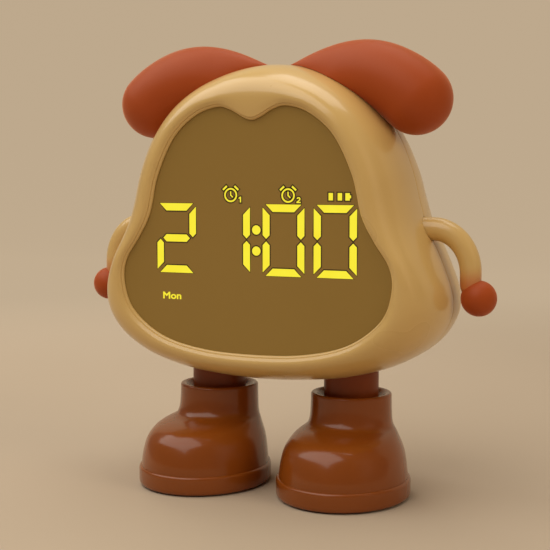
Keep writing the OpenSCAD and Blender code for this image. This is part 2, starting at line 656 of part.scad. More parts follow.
usb_w = 8.94;
usb_h = 3.26;
usb_l = back_depth - 0.6 - main_back_y;
module usb_socket() piece(metal_color) {
    difference() {
        y_plate(main_back_y, main_back_y + usb_l) stadium(0, usb_z, usb_w, usb_h);
        y_plate(main_back_y + 2, back_depth) stadium(0, usb_z, usb_w - 0.7, usb_h - 0.7);
    }
    box(-usb_w / 2 + 1.2, usb_w / 2 - 1.2, main_back_y + 1, main_back_y + usb_l - 1.2, usb_z - 0.35, usb_z + 0.35);
}

// ---- Loudspeaker ----

gasket_t = 0.6;
speaker_flange_t = 1.5;
speaker_flange_y = back_wall_y - gasket_t - speaker_flange_t;
module around_speaker(y) translate([0, y, speaker_z]) rotate([90, 0, 0]) rotate_extrude() children();
module speaker_gasket() piece(black_color) around_speaker(back_wall_y)
    translate([speaker_r - 2.4, 0]) square([2.4, gasket_t]);
// The basket is open behind the cone; its profile is [radius, depth behind the gasket].
module speaker_frame() piece(metal_color) around_speaker(back_wall_y - gasket_t) polygon([[speaker_r - 2.4, 0],
    [speaker_r, 0], [speaker_r, speaker_flange_t], [speaker_r - 3.4, 6], [4, 6], [4, 5], [speaker_r - 4, 5],
    [speaker_r - 2.4, speaker_flange_t]]);
module speaker_cone() piece("#4a4038") around_speaker(back_wall_y - gasket_t) polygon([[0, 2.6],
    [speaker_r - 8.5, 3.6], [speaker_r - 2.5, 0.2], [speaker_r - 2.5, 0.6], [speaker_r - 8, 4.2], [0, 3]]);
module speaker_magnet() piece(metal_color)
    y_bar(speaker_r - 5, 0, speaker_z, back_wall_y - gasket_t - 9.5, back_wall_y - gasket_t - 6);

// ---- Buttons ----

switch_body_t = 3.5;
switch_stem_t = 1.5;
button_flange_r = button_r + 1;
button_flange_t = 1.2;
plunger_end_y = main_back_y + switch_body_t + switch_stem_t + button_travel + 0.1;
module switch_bodies() piece(black_color) for (i = [-2:2]) {
    x = i * button_pitch;
    box(x - 3, x + 3, main_back_y, main_back_y + switch_body_t, button_z - 3, button_z + 3);
    y_bar(1.6, x, button_z, main_back_y + switch_body_t, main_back_y + switch_body_t + switch_stem_t);
}
module button(i) piece(boot_color) translate([i * button_pitch, 0, button_z]) rotate([-90, 0, 0]) rotate_extrude()
    polygon([[0, plunger_end_y], [1.8, plunger_end_y], [1.8, back_wall_y - button_flange_t],
        [button_flange_r, back_wall_y - button_flange_t], [button_flange_r, back_wall_y],
        [button_r, back_wall_y], [button_r, back_depth + button_proud - 0.4],
        [button_r - 0.4, back_depth + button_proud], [0, back_depth + button_proud]]);
module button_light() button(-2);
module button_set() button(-1);
module button_down() button(0);
module button_up() button(1);
module button_alarm() button(2);

module case_screws() piece(metal_color) for (p = case_screw_places)
    screw(p[0], p[1], case_head_y, 1, case_head_r, case_head_h, case_screw_r, 18);

// ---- Ears ----

ear_axis_r = body_r(ear_end_angle) + ear_h - ear_end_r;
ear_last_angle = ear_end_angle + asin(ear_end_r / ear_axis_r);
// The section in the direction a: its middle's distance from the hub, half its height, half its depth.
function ear_section(a) = a > ear_end_angle
    ? let (half = sqrt(max(0, pow(ear_end_r, 2) - pow(ear_axis_r * sin(a - ear_end_angle), 2))))
        [ear_axis_r * cos(a - ear_end_angle), half, ear_half_depth * half / ear_end_r]
    : let (s = sin(90 * (a - ear_tip_angle) / (ear_end_angle - ear_tip_angle)),
        top = body_r(a) + seat_gap + (ear_h - seat_gap) * pow(s, 1.2)
            + (body_r(ear_end_angle) - body_r(a)) * pow(s, 6),
        low = max(body_r(a) + seat_gap, top - ear_end_r))
        [low, top - low, ear_half_depth * pow(s, 0.7)];
ear_angles = concat([for (k = [1:14]) ear_tip_angle + (ear_end_angle - ear_tip_angle) * k / 14],
    [for (k = [1:6]) ear_end_angle + (ear_last_angle - ear_end_angle) * sin(14.5 * k)]);
function ear_ring(a) = let (e = ear_section(a)) [for (i = [0:27])
    let (y = e[2] * sin(360 * i / 28) - ear_forward,
        r = max(e[0] + e[1] * cos(360 * i / 28), surface_r(a, y) + seat_gap))
    [r * sin(a), y, hub_z + r * cos(a)]];
function ear_pole(a, r) = [r * sin(a), -ear_forward, hub_z + r * cos(a)];

// A soft ear with the peg that the two shells hold between them.
module ear() {
    loft([for (a = ear_angles) ear_ring(a)], [ear_pole(ear_tip_angle, body_r(ear_tip_angle) + seat_gap),
        ear_pole(ear_last_angle, ear_axis_r * cos(ear_last_angle - ear_end_angle))]);
    ear_axis() {
        translate([0, 0, -wall - 2 * seat_gap - 1]) cylinder(r = ear_peg_r, h = wall + 2 * seat_gap + 4);
        translate([0, 0, -wall - 2 * seat_gap - 2]) cylinder(r = ear_flange_r, h = 2);
    }
}
module ear_right() piece(ear_color) ear();
module ear_left() piece(ear_color) mirror([1, 0, 0]) ear();

// ---- Arms and hands ----

arm_x = body_w / 2 + arm_gap + wrist_r;
bend_x = arm_x - arm_bend_w;
hand_x = arm_x + hand_offset;
hand_z = shoulder_z - arm_drop;
wrist_z = hand_z + hand_r * 0.25;
wrist_lean = hand_offset * 0.6;
bend_points = [for (a = [0:7.5:90]) [bend_x + arm_bend_w * sin(a), 0, shoulder_z - arm_bend_h * (1 - cos(a))]];
arm_path = concat([[bend_x - 1.5, 0, shoulder_z]], bend_points,
    [for (s = [0.25:0.25:1]) [arm_x + wrist_lean * pow(max(0, 2 * s - 1), 2), 0,
        (shoulder_z - arm_bend_h) * (1 - s) + wrist_z * s]]);
arm_radii = [for (k = [0:len(arm_path) - 1])
    arm_r - 0.05 - (arm_r - wrist_r) * k / (len(arm_path) - 1)];

module arm() difference() {
    union() {
        x_bar(arm_r, 0, shoulder_z, arm_flange_x - arm_flange_t, bend_x - 1);
        x_bar(washer_r, 0, shoulder_z, arm_flange_x - arm_flange_t, arm_flange_x);
        rod(arm_path, arm_radii, 28, [0, 1, 0]);
    }
    translate([hand_x, 0, hand_z]) sphere(r = hand_r + 0.05);
}
module arm_right() piece(shell_color) arm();
module arm_left() piece(shell_color) mirror([1, 0, 0]) arm();
module hand() translate([hand_x, 0, hand_z]) sphere(r = hand_r);
module hand_right() piece(ear_color) hand();
module hand_left() piece(ear_color) mirror([1, 0, 0]) hand();
module shoulder_washers() piece(black_color) on_both_sides() difference() {
    x_bar(washer_r, 0, shoulder_z, stub_x - washer_t, stub_x);
    x_bar(arm_r + run_gap, 0, shoulder_z, stub_x - washer_t - 1, stub_x + 1);
}

// ---- Legs, boots and soles ----

module at_leg(side) translate([side * leg_spacing / 2, leg_set_back, 0]) rotate([0, 0, side * toe_out]) children();
leg_floor_t = 6;
leg_screw_r = 1.5;
leg_screw_seat = 3;
module leg(side) piece(leg_color) at_leg(side) difference() {
    union() {
        z_bar(leg_r, 0, 0, sole_h, leg_top_z);
        z_bar(leg_flange_r, 0, 0, leg_flange_z, leg_top_z);
    }
    z_bar(leg_r - leg_wall, 0, 0, sole_h + leg_floor_t, leg_top_z + 1);
    z_bar(leg_screw_r + run_gap, 0, 0, sole_h - 1, sole_h + leg_floor_t + 1);
}
module leg_right() leg(1);
module leg_left() leg(-1);

// A boot's profile from the sole up: share of the height, of the toe's reach and of the width.
boot_profile = [[0, 1, 1], [0.1, 0.985, 0.94], [0.2, 0.935, 0.85], [0.3, 0.88, 0.74], [0.38, 0.83, 0.62],
    [0.45, 0.74, 0.49], [0.5, 0.61, 0.38], [0.54, 0.42, 0.27], [0.575, 0.19, 0.15], [0.63, 0.1, 0.07],
    [0.74, 0.03, 0.02], [0.97, 0, 0]];
// An oval ring: reaches to the toe and to the heel, half its width, and its height.
function oval(toe, heel, half_w, z) = [for (i = [0:43]) let (a = 360 * i / 44)
    [-half_w * sin(a), (heel - toe) / 2 - (heel + toe) / 2 * cos(a), z]];
function boot_ring(p, inset, drop) = oval(
    collar_r + (toe_reach - upper_inset - collar_r) * p[1] - inset,
    collar_r + (heel_reach - upper_inset - collar_r) * (1 - p[0]) - inset,
    collar_r + (sole_half_w - upper_inset - collar_r) * p[2] - inset,
    sole_h + (boot_h - sole_h) * p[0] - drop);
function round_ring(r, z) = oval(r, r, r, z);
leg_hole_r = leg_r + seat_gap;
module boot(side) piece(boot_color) at_leg(side) loft(concat(
    [for (p = boot_profile) boot_ring(p, 0, 0)],
    [round_ring(collar_r - 0.8, boot_h), round_ring(collar_r - 1.8, boot_h),
        round_ring(collar_r - 2.8, boot_h - collar_sink), round_ring(leg_hole_r, boot_h - collar_sink),
        round_ring(leg_hole_r, sole_h + (boot_h - sole_h) * 0.8)],
    [for (k = [len(boot_profile) - 3:-1:1]) boot_ring(boot_profile[k], boot_wall, boot_wall * 0.7)],
    [boot_ring(boot_profile[0], boot_wall, 0)]));
module boot_right() boot(1);
module boot_left() boot(-1);

toe_pad_y = -0.55 * toe_reach;
heel_pad_y = 0.58 * heel_reach;
heel_pad_r = 0.34 * heel_reach;
module pads(play, top) {
    z_bar(pad_r + play, 0, toe_pad_y, 0, top);
    z_bar(heel_pad_r + play, 0, heel_pad_y, 0, top);
}
function sole_ring(inset, z) = oval(toe_reach - inset, heel_reach - inset, sole_half_w - inset, z);
module sole(side) piece(boot_color) at_leg(side) difference() {
    loft([sole_ring(1, pad_proud), sole_ring(0.25, pad_proud + 0.4), sole_ring(0, pad_proud + 1.2),
        sole_ring(0, sole_h - 0.7), sole_ring(0.25, sole_h - 0.2), sole_ring(0.6, sole_h)],
        [[0, sole_middle, pad_proud], [0, sole_middle, sole_h]]);
    pads(fit_gap, pad_t);
    z_bar(leg_screw_r + 0.25, 0, 0, 0, sole_h + 1);
    z_bar(3.2, 0, 0, 0, leg_screw_seat);
}
module sole_right() sole(1);
module sole_left() sole(-1);
module foot_pad(side) piece(black_color) at_leg(side) pads(0, pad_t);
module foot_pad_right() foot_pad(1);
module foot_pad_left() foot_pad(-1);
module leg_screws() piece(metal_color) for (side = [-1, 1]) at_leg(side) {
    z_bar(2.9, 0, 0, leg_screw_seat - 1.8, leg_screw_seat);
    z_bar(leg_screw_r, 0, 0, leg_screw_seat, sole_h + leg_floor_t - 0.5);
}

front_shell();
rear_shell();
face_lens();
lit_marks();
diffuser_film();
digit_reflector();
display_board();
display_leds();
night_light_leds();
display_screws();
battery_tape();
battery_pouch();
battery_lead();
main_board();
board_chips();
board_connectors();
switch_bodies();
tap_sensor();
usb_socket();
ribbon_cable();
board_screws();
speaker_gasket();
speaker_frame();
speaker_cone();
speaker_magnet();
speaker_lead();
button_light();
button_set();
button_down();
button_up();
button_alarm();
case_screws();
ear_left();
ear_right();
arm_left();
arm_right();
hand_left();
hand_right();
shoulder_washers();
leg_left();
leg_right();
boot_left();
boot_right();
sole_left();
sole_right();
foot_pad_left();
foot_pad_right();
leg_screws();
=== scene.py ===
import math

import bpy
import numpy as np
from mathutils import Matrix, Vector


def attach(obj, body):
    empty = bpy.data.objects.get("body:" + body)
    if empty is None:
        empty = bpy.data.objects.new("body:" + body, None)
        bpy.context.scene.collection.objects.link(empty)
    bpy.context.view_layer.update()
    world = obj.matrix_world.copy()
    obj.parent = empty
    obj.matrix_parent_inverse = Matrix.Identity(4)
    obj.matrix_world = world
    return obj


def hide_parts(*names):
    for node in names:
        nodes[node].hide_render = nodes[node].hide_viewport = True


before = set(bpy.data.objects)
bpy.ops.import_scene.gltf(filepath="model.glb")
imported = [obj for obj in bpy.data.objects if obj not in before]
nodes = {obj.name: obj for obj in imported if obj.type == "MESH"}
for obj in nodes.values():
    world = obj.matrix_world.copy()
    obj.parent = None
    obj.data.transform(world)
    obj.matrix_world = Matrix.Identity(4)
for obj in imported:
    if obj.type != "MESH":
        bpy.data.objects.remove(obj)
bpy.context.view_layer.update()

scene = bpy.context.scene
MM = 0.001


# ---- Studio ----
# A pale sweep that the clock stands on. A very large soft lamp stands above at the front left, a smaller
# one above, and two that leave no mirror image: a warm one at the right and a low one behind at the left.

def linear(colour):
    """An sRGB hex colour as linear red, green, blue and alpha."""
    parts = [int(colour[i:i + 2], 16) / 255 for i in (1, 3, 5)]
    return [c / 12.92 if c <= 0.04045 else ((c + 0.055) / 1.055) ** 2.4 for c in parts] + [1]


def add_node(tree, kind, inputs=None, **settings):
    """Adds a node with its settings. An input gets a value, or the socket that feeds it."""
    node = tree.nodes.new(kind)
    for name, value in settings.items():
        setattr(node, name, value)
    for name, value in (inputs or {}).items():
        if isinstance(value, bpy.types.NodeSocket):
            tree.links.new(value, node.inputs[name])
        else:
            node.inputs[name].default_value = value
    return node


def placed(name, data):
    """A new object in the scene, with that data."""
    piece = bpy.data.objects.new(name, data)
    scene.collection.objects.link(piece)
    return piece


def soft_marks(tree, place, marks, detail):
    """A soft random pattern, with marks that are that many millimetres wide."""
    noise = add_node(tree, "ShaderNodeTexNoise", {"Vector": place, "Scale": 1000 / marks, "Detail": detail})
    return noise.outputs[0]


def mixed(tree, share, one, other):
    """A mix of two colours. Each is a hex colour, or the socket that feeds it."""
    one, other = (linear(c) if isinstance(c, str) else c for c in (one, other))
    return add_node(tree, "ShaderNodeMix", {0: share, 6: one, 7: other}, data_type="RGBA").outputs[2]


def two_tones(tree, place, marks, detail, colour, other):
    """Two colours that run into each other in soft marks."""
    return mixed(tree, soft_marks(tree, place, marks, detail), colour, other)


def new_material(name, colour, tone=None, haze=None, relief=None, **inputs):
    """A material with these plain shader inputs, whose surface wavers in soft marks.

    tone gives the marks in mm, their detail and two colours; haze the marks, their detail and the
    roughness from and to; relief the marks, their detail and the depth in mm.
    """
    material = bpy.data.materials.new(name)
    material.use_nodes = True
    tree = material.node_tree
    shader = tree.nodes["Principled BSDF"]
    shader.inputs["Base Color"].default_value = linear(colour)
    for key, value in inputs.items():
        shader.inputs[key.replace("_", " ").title().replace("Ior", "IOR")].default_value = value
    place = add_node(tree, "ShaderNodeTexCoord").outputs["Object"]
    if tone:
        tree.links.new(two_tones(tree, place, *tone), shader.inputs["Base Color"])
    if haze:
        polish = add_node(tree, "ShaderNodeMapRange", {0: soft_marks(tree, place, *haze[:2]), 3: haze[2],
                                                       4: haze[3]})
        tree.links.new(polish.outputs[0], shader.inputs["Roughness"])
    if relief:
        skin = add_node(tree, "ShaderNodeBump", {"Height": soft_marks(tree, place, *relief[:2]),
                                                 "Distance": relief[2] * MM, "Strength": 1})
        tree.links.new(skin.outputs[0], shader.inputs["Normal"])
    return material


def workings(material):
    """A material's node tree, its shader and its object's coordinates."""
    parts = material.node_tree.nodes
    return material.node_tree, parts["Principled BSDF"], parts["Texture Coordinate"].outputs["Object"]


# Matt card: pale, faintly uneven, no gloss. To the camera and in mirror images its far part is evenly
# bright, so that the floor runs into the background without a horizon.
backdrop = "#bda88c"
matt_card = new_material("matt_card", "#bfae98", roughness=0.8, specular_ior_level=0.2)
tree, shader, place = workings(matt_card)
reach = add_node(tree, "ShaderNodeVectorMath", {0: place}, operation="LENGTH")
far = add_node(tree, "ShaderNodeMapRange", {0: reach.outputs["Value"], 1: 240 * MM, 2: 700 * MM},
               interpolation_type="SMOOTHSTEP")
path = add_node(tree, "ShaderNodeLightPath").outputs
seen = add_node(tree, "ShaderNodeMath", {0: path["Is Camera Ray"], 1: path["Is Glossy Ray"]},
                operation="MAXIMUM")
glow = add_node(tree, "ShaderNodeMath", {0: far.outputs[0], 1: seen.outputs[0]}, operation="MULTIPLY")
tone = two_tones(tree, place, 240, 2, "#beac95", "#b6a48d")
tree.links.new(mixed(tree, glow.outputs[0], tone, "#000000"), shader.inputs["Base Color"])
shader.inputs["Emission Color"].default_value = linear(backdrop)
tree.links.new(glow.outputs[0], shader.inputs["Emission Strength"])

sweep_front, sweep_back, bend_r, sweep_top, sweep_half_w = -1800, 900, 600, 2200, 2600
sweep_line = [[sweep_front, 0]]
sweep_line += [[sweep_back + bend_r * math.sin(a), bend_r * (1 - math.cos(a))]
               for a in np.radians(np.arange(0, 91, 6))]
sweep_line += [[sweep_back + bend_r, sweep_top]]
sweep_mesh = bpy.data.meshes.new("sweep")
sweep_points = [(x * MM, y * MM, z * MM) for y, z in sweep_line for x in (-sweep_half_w, sweep_half_w)]
sweep_mesh.from_pydata(sweep_points, [],
                       [(2 * k, 2 * k + 1, 2 * k + 3, 2 * k + 2) for k in range(len(sweep_line) - 1)])
sweep_mesh.materials.append(matt_card)
sweep_mesh.shade_smooth()
sweep = placed("sweep", sweep_mesh)

for name, spot, aim, size, watts, tint, glossy in [
        ("lamp_above_left", (-440, -440, 950), (0, 0, 80), (1800, 1050), 12.6, "#fffaf2", True),
        ("lamp_above", (80, 240, 1150), (0, 0, 90), (900, 600), 3.8, "#fffaf2", True),
        ("lamp_right", (1000, -260, 520), (0, 0, 90), (500, 800), 3.2, "#ffeed8", False),
        ("lamp_behind_left", (-560, 620, 420), (0, 0, 90), (400, 500), 2.0, "#fbf4ea", False)]:
    lamp_data = bpy.data.lights.new(name, "AREA")
    lamp_data.shape = "RECTANGLE"
    lamp_data.size, lamp_data.size_y = size[0] * MM, size[1] * MM
    lamp_data.energy = watts
    lamp_data.color = linear(tint)[:3]
    lamp = placed(name, lamp_data)
    lamp.visible_glossy = glossy
    lamp.location = Vector(spot) * MM
    lamp.rotation_euler = (Vector(aim) - Vector(spot)).to_track_quat("-Z", "Y").to_euler()

surround = bpy.data.worlds.new("surround")
surround.use_nodes = True
tree = surround.node_tree
seen = add_node(tree, "ShaderNodeLightPath").outputs["Is Camera Ray"]
strength = add_node(tree, "ShaderNodeMapRange", {0: seen, 3: 0.16})
sky = tree.nodes["Background"]
tree.links.new(mixed(tree, seen, "#f6ede0", backdrop), sky.inputs["Color"])
tree.links.new(strength.outputs[0], sky.inputs["Strength"])
scene.world = surround
scene.view_settings.view_transform = "Standard"

camera_data = bpy.data.cameras.new("camera")
camera_data.lens = 77.88
camera_data.sensor_width = 36
camera_data.clip_start = 0.01
camera = placed("camera", camera_data)
camera.location = Vector((165.8, -394.2, 114.0)) * MM
camera_aim = Vector((0.46, -4.5, 76.81)) * MM
camera.rotation_euler = (camera_aim - camera.location).to_track_quat("-Z", "Y").to_euler()
scene.camera = camera


# ---- Front shell ----
# The front half of the hollow body, moulded in polished cream ABS. A round rim runs in from the
# parting line to a window shaped like a dog's face, whose edge has a fine step and a bright bevel.

def cream(name, roughness):
    """Polished cream ABS: the tone drifts over centimetres, and light shows the mould's soft orange peel."""
    return new_material(name, "#d9b470", (60, 1, "#d9b470", "#d4ae69"),
                        (24, 1, roughness * 0.92, roughness * 1.08), (8, 0, 0.02),
                        ior=1.5, coat_weight=0.4, coat_roughness=0.05)


cream_abs = cream("cream_abs", 0.28)

body_w, body_h, body_low = 127, 112, 39.4
front_depth, rim_fall, back_depth, back_inset, wall, groove = 29.4, 1.0, 28, 22, 2.2, 0.35
edge_power, cheek_power = 2.3, 3.0
parting_y = 3.4755
hub_z = body_low + 0.434 * body_h
# Half outlines, in hundredths of half the width and of the height.
body_outline = [[0, 100], [25.2, 97.5], [48.8, 90.6], [66.1, 80], [75.9, 68.1], [80.8, 57.7], [85, 49.6],
                [93.9, 38.5], [100, 28.2], [98.6, 20.4], [89, 12.6], [70.9, 6.3], [47.2, 2.3], [23.6, 0.6],
                [0, 0]]
window_outline = [[0, 94.6], [6, 95.6], [16, 98.8], [26, 100], [42, 96.9], [59.1, 88.1], [72.1, 72.8],
                  [78.8, 56.8], [87.4, 47.1], [98, 37.4], [100, 27.9], [92.8, 16.3], [70.1, 6.1], [38, 1.2],
                  [0, 0]]
window_w, window_h, window_low = 99.8, 84.8, 50.8


def flowing(points, before, after, steps):
    """A smooth line through points, with the points that go before and after them."""
    p = np.array([before, *points, after], float)
    line = [0.5 * (2 * b + (c - a) * t + (2 * a - 5 * b + 4 * c - d) * t ** 2
                   + (3 * b - a - 3 * c + d) * t ** 3)
            for a, b, c, d in zip(p, p[1:], p[2:], p[3:]) for t in np.arange(steps) / steps]
    return np.array([*line, p[-2]])


def reach_of(outline, width, height, low):
    """A function that gives an outline's distance from the hub at an angle from upright, in degrees."""
    mirror = np.array([-1, 1])
    line = flowing(outline, outline[1] * mirror, outline[-2] * mirror, 24)
    x, z = line[:, 0] * width / 200, low + line[:, 1] * height / 100 - hub_z
    angles, reaches = np.degrees(np.arctan2(x, z)), np.hypot(x, z)
    return lambda angle: np.interp(np.abs(angle), angles, reaches)


# The bridge is the window's outline without its notch.
body_r = reach_of(body_outline, body_w, body_h, body_low)
window_r = reach_of(window_outline, window_w, window_h, window_low)
bridge_r = reach_of([[0, 101.8], [13, 101.4]] + window_outline[3:], window_w, window_h, window_low)


def rear_power(angle):
    """The rear half's edge is as round as the front's at the top, and fuller at the cheeks and below."""
    return np.interp(np.abs(angle), [50, 90], [edge_power, cheek_power])


def edge_in(t, power=edge_power):
    """How far in a rounded edge has come at a step from 0 to 1, as a share."""
    return 1 - np.cos(np.pi / 2 * t) ** (2 / power)


def edge_out(t, power=edge_power):
    """How far along the depth it has come there."""
    return np.sin(np.pi / 2 * t) ** (2 / power)


# The rings' points lie closest at the top, where the window has its notch.
ring_n = 336
ring_i = np.arange(1 - ring_n // 2, ring_n // 2 + 1)
ring_angles = 180 * np.sign(ring_i) * np.abs(2 * ring_i / ring_n) ** 1.3
rear_powers = rear_power(ring_angles)


def ring(y, inset, share=0.0, lap=0.0):
    """A ring round the body: inset from its outline, and moved by a share to the window's outline."""
    outer, bridge = body_r(ring_angles) - inset, bridge_r(ring_angles)
    inner = bridge + (window_r(ring_angles) - bridge) * share ** 6 + lap
    r = outer * (1 - share) + inner * share
    a = np.radians(ring_angles)
    return np.stack([r * np.sin(a), np.full_like(r, parting_y + y), hub_z + r * np.cos(a)], 1)


def soften(piece):
    """Shades a piece smooth, but for the edges where its faces turn by more than 38 degrees."""
    piece.data.shade_smooth()
    piece.data.set_sharp_from_angle(angle=math.radians(38))
    return piece


def new_piece(name, points, faces, *materials):
    """A closed mesh from points in millimetres, with its faces turned outwards."""
    points = np.asarray(points, float)
    fans = np.array([(f[0], f[k], f[k + 1]) for f in faces for k in range(1, len(f) - 1)])
    a, b, c = (points[fans[:, k]] for k in range(3))
    if np.einsum("ij,ij->i", a, np.cross(b, c)).sum() < 0:
        faces = [f[::-1] for f in faces]
    mesh = bpy.data.meshes.new(name)
    mesh.from_pydata((points * MM).tolist(), [], faces)
    for material in materials:
        mesh.materials.append(material)
    return soften(placed(name, mesh))


def lofted(name, rings, poles, *materials):
    """A closed solid through rings of equally many points. Without poles it closes on its first ring."""
    rings = [np.asarray(r, float) for r in rings]
    n, m = len(rings[0]), len(rings)
    faces = []
    for k in range(m if poles is None else m - 1):
        a, b = k * n, (k + 1) % m * n
        faces += [(a + i, a + (i + 1) % n, b + (i + 1) % n, b + i) for i in range(n)]
    if poles is not None:
        last = (m - 1) * n
        faces += [((i + 1) % n, i, m * n) for i in range(n)]
        faces += [(last + i, last + (i + 1) % n, m * n + 1) for i in range(n)]
    return new_piece(name, np.vstack(rings + ([] if poles is None else [poles])), faces, *materials)


def spun(name, profile, centre, axis, material, sides=72):
    """A solid spun round the x, y or z axis through its centre, from [radius, place along the axis]."""
    axis = "xyz".index(axis)
    turn = 2 * np.pi * np.arange(sides) / sides
    rings = []
    for radius, along in profile:
        flat = [radius * np.cos(turn), radius * np.sin(turn)]
        flat.insert(axis, np.full(sides, along))
        rings.append(np.stack(flat, 1) + centre)
    poles = [np.array(centre) + along * np.eye(3)[axis] for along in (profile[0][1], profile[-1][1])]
    return lofted(name, rings, poles, material)


def bake(piece):
    """Makes the shape that the piece's modifiers give it its own mesh."""
    mesh = bpy.data.meshes.new_from_object(piece.evaluated_get(bpy.context.evaluated_depsgraph_get()))
    piece.modifiers.clear()
    piece.data = mesh
    return piece


def combine(piece, operation, others):
    """Adds other solids to a piece, cuts them out of it or keeps what they share, and removes them."""
    for other in others:
        step = piece.modifiers.new("combine", "BOOLEAN")
        step.operation = operation
        step.solver = "MANIFOLD"
        step.object = other
    bake(piece)
    for other in others:
        bpy.data.objects.remove(other)
    return soften(piece)


leg_x, leg_y, leg_r, shoulder_z, arm_r = 26.2, 1.5, 9.8, body_low + 54.6, 4.1
leg_play, arm_play, leg_cut, arm_cut = 0.15, 0.1, (-8, 14), (44, 72)


def joint_cutters():
    """The round openings for the legs and the arms, which both shells share."""
    legs = [spun("cutter", [[leg_r + leg_play, z] for z in leg_cut],
                 (s * leg_x, leg_y + parting_y, body_low), "z", cream_abs, 96) for s in (-1, 1)]
    arms = [spun("cutter", [[arm_r + arm_play, s * x] for x in arm_cut],
                 (0, parting_y, shoulder_z), "x", cream_abs, 96) for s in (-1, 1)]
    return legs + arms


def groove_in(t):
    """How far the groove at the parting line has rounded in, from its bottom at 0 to the outside at 1."""
    return groove * (1 - math.sqrt(max(0, 1 - (1 - t) ** 2)))


# The rim is a round roll that falls back past its crest to a fine step, and a narrow bevel runs on to
# the window.
lens_y, ledge = -27, 3
step_lap, step_h, step_w = 1.1, 0.4, 0.2
bevel_h, bevel_w, lens_gap = 0.85, 0.84, 0.12
step_y, bevel_y = lens_y - 1.4, lens_y - 1
front_rings = [ring(-groove * t, groove_in(t)) for t in (0, 0.35, 0.7, 1)]
front_rings += [ring(rim_fall * edge_in(t) ** 14 - front_depth * edge_out(t), 0, edge_in(t), step_lap)
                for t in np.arange(1, 45) / 44]
front_rings += [ring(step_y + step_h * (1 - math.cos(a)), 0, 1, step_lap - step_w * math.sin(a))
                for a in np.radians([15, 35, 55, 75, 90])]
front_rings += [ring(bevel_y + bevel_h * (1 - math.cos(a)), 0, 1, bevel_w * (1 - math.sin(a)))
                for a in np.radians([0, 10, 25, 45, 65, 80, 90])]
front_rings += [ring(lens_y - lens_gap, 0, 1, 0.02), ring(lens_y - lens_gap, 0, 1, ledge)]
front_rings += [ring((front_depth - wall + lens_y) * edge_in(t) ** 3 - (front_depth - wall) * edge_out(t),
                     wall, edge_in(t), ledge) for t in np.arange(15, -1, -1) / 16]
front_shell = lofted("front_body", front_rings, None, cream_abs)
combine(front_shell, "DIFFERENCE", joint_cutters())
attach(front_shell, "clock")
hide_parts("front_shell")


# ---- Rear shell ----
# The rear half, of the same cream ABS, which plugs into the front with a tongue. Its flat back has
# five button holes, a round patch of speaker holes and a USB slot; four deep wells take the screws.

button_z, button_r, button_pitch = body_low + 48.6, 4.2, 12
speaker_z, grille_hole_r, grille_pitch = hub_z + 26.4, 0.9, 3.6
usb_z, usb_w, usb_h, usb_play, usb_flare = body_low + 20.6, 8.94, 3.26, 0.6, 1.8
case_hole_r, case_well_r, case_head_y = 1.65, 3.0, 8
tongue_in, tongue_t, tongue_h = 2.5, 1.1, 2.5
inner_y = back_depth - wall
screw_places = []
for angle in (-118, -46.5, 46.5, 118):
    r = (body_r(angle) - wall - 1.4 + window_r(angle) + ledge - 0.5) / 2
    screw_places.append((r * math.sin(math.radians(angle)), hub_z + r * math.cos(math.radians(angle))))


def geometry_tree(name, **sockets):
    """A geometry node tree with named inputs, given as label = type; returns the tree and its input node."""
    group = bpy.data.node_groups.new(name, "GeometryNodeTree")
    for label, kind in sockets.items():
        group.interface.new_socket(label.replace("_", " "), in_out="INPUT", socket_type="NodeSocket" + kind)
    group.interface.new_socket("Shape", in_out="OUTPUT", socket_type="NodeSocketGeometry")
    return group, add_node(group, "NodeGroupInput")


def grown(name, mesh, group, **values):
    """An object that the tree grows from a mesh, with the tree's inputs set, made a plain mesh."""
    piece = placed(name, mesh)
    step = piece.modifiers.new("grow", "NODES")
    step.node_group = group
    for socket in group.interface.items_tree:
        label = socket.name.replace(" ", "_")
        if socket.in_out == "INPUT" and label in values:
            step[socket.identifier] = values[label]
    return bake(piece)


def close_tree(group, given, copies):
    """Ends a tree: its copies are made real and take the material that the tree is given."""
    real = add_node(group, "GeometryNodeRealizeInstances", {"Geometry": copies.outputs[0]})
    coated = add_node(group, "GeometryNodeSetMaterial", {"Geometry": real.outputs[0],
                                                        "Material": given.outputs["Material"]})
    add_node(group, "NodeGroupOutput", {"Shape": coated.outputs[0]})


# The perforations: one pin in the middle, and rings of six and twelve pins, all cut through the back.
holes, given = geometry_tree("speaker_holes", Geometry="Geometry", Hole_radius="Float", Pitch="Float",
                             Depth="Float", Material="Material")
pin = add_node(holes, "GeometryNodeMeshCylinder", {"Vertices": 28, "Radius": given.outputs["Hole radius"],
                                                  "Depth": given.outputs["Depth"]})
spots = add_node(holes, "GeometryNodeJoinGeometry")
holes.links.new(given.outputs["Geometry"], spots.inputs[0])
for k in (1, 2):
    reach = add_node(holes, "ShaderNodeMath", {0: given.outputs["Pitch"], 1: float(k)}, operation="MULTIPLY")
    circle = add_node(holes, "GeometryNodeMeshCircle", {"Vertices": 6 * k, "Radius": reach.outputs[0]})
    holes.links.new(circle.outputs[0], spots.inputs[0])
pins = add_node(holes, "GeometryNodeInstanceOnPoints", {"Points": spots.outputs[0],
                                                       "Instance": pin.outputs[0]})
close_tree(holes, given, pins)
middle = bpy.data.meshes.new("middle")
middle.from_pydata([(0, 0, 0)], [], [])
grille_pins = grown("cutter", middle, holes, Hole_radius=grille_hole_r * MM, Pitch=grille_pitch * MM,
                    Depth=8 * MM, Material=cream_abs)
grille_pins.data.transform(Matrix.Translation(Vector((0, parting_y + inner_y + 1, speaker_z)) * MM)
                           @ Matrix(((0, 1, 0, 0), (0, 0, 1, 0), (1, 0, 0, 0), (0, 0, 0, 1))))


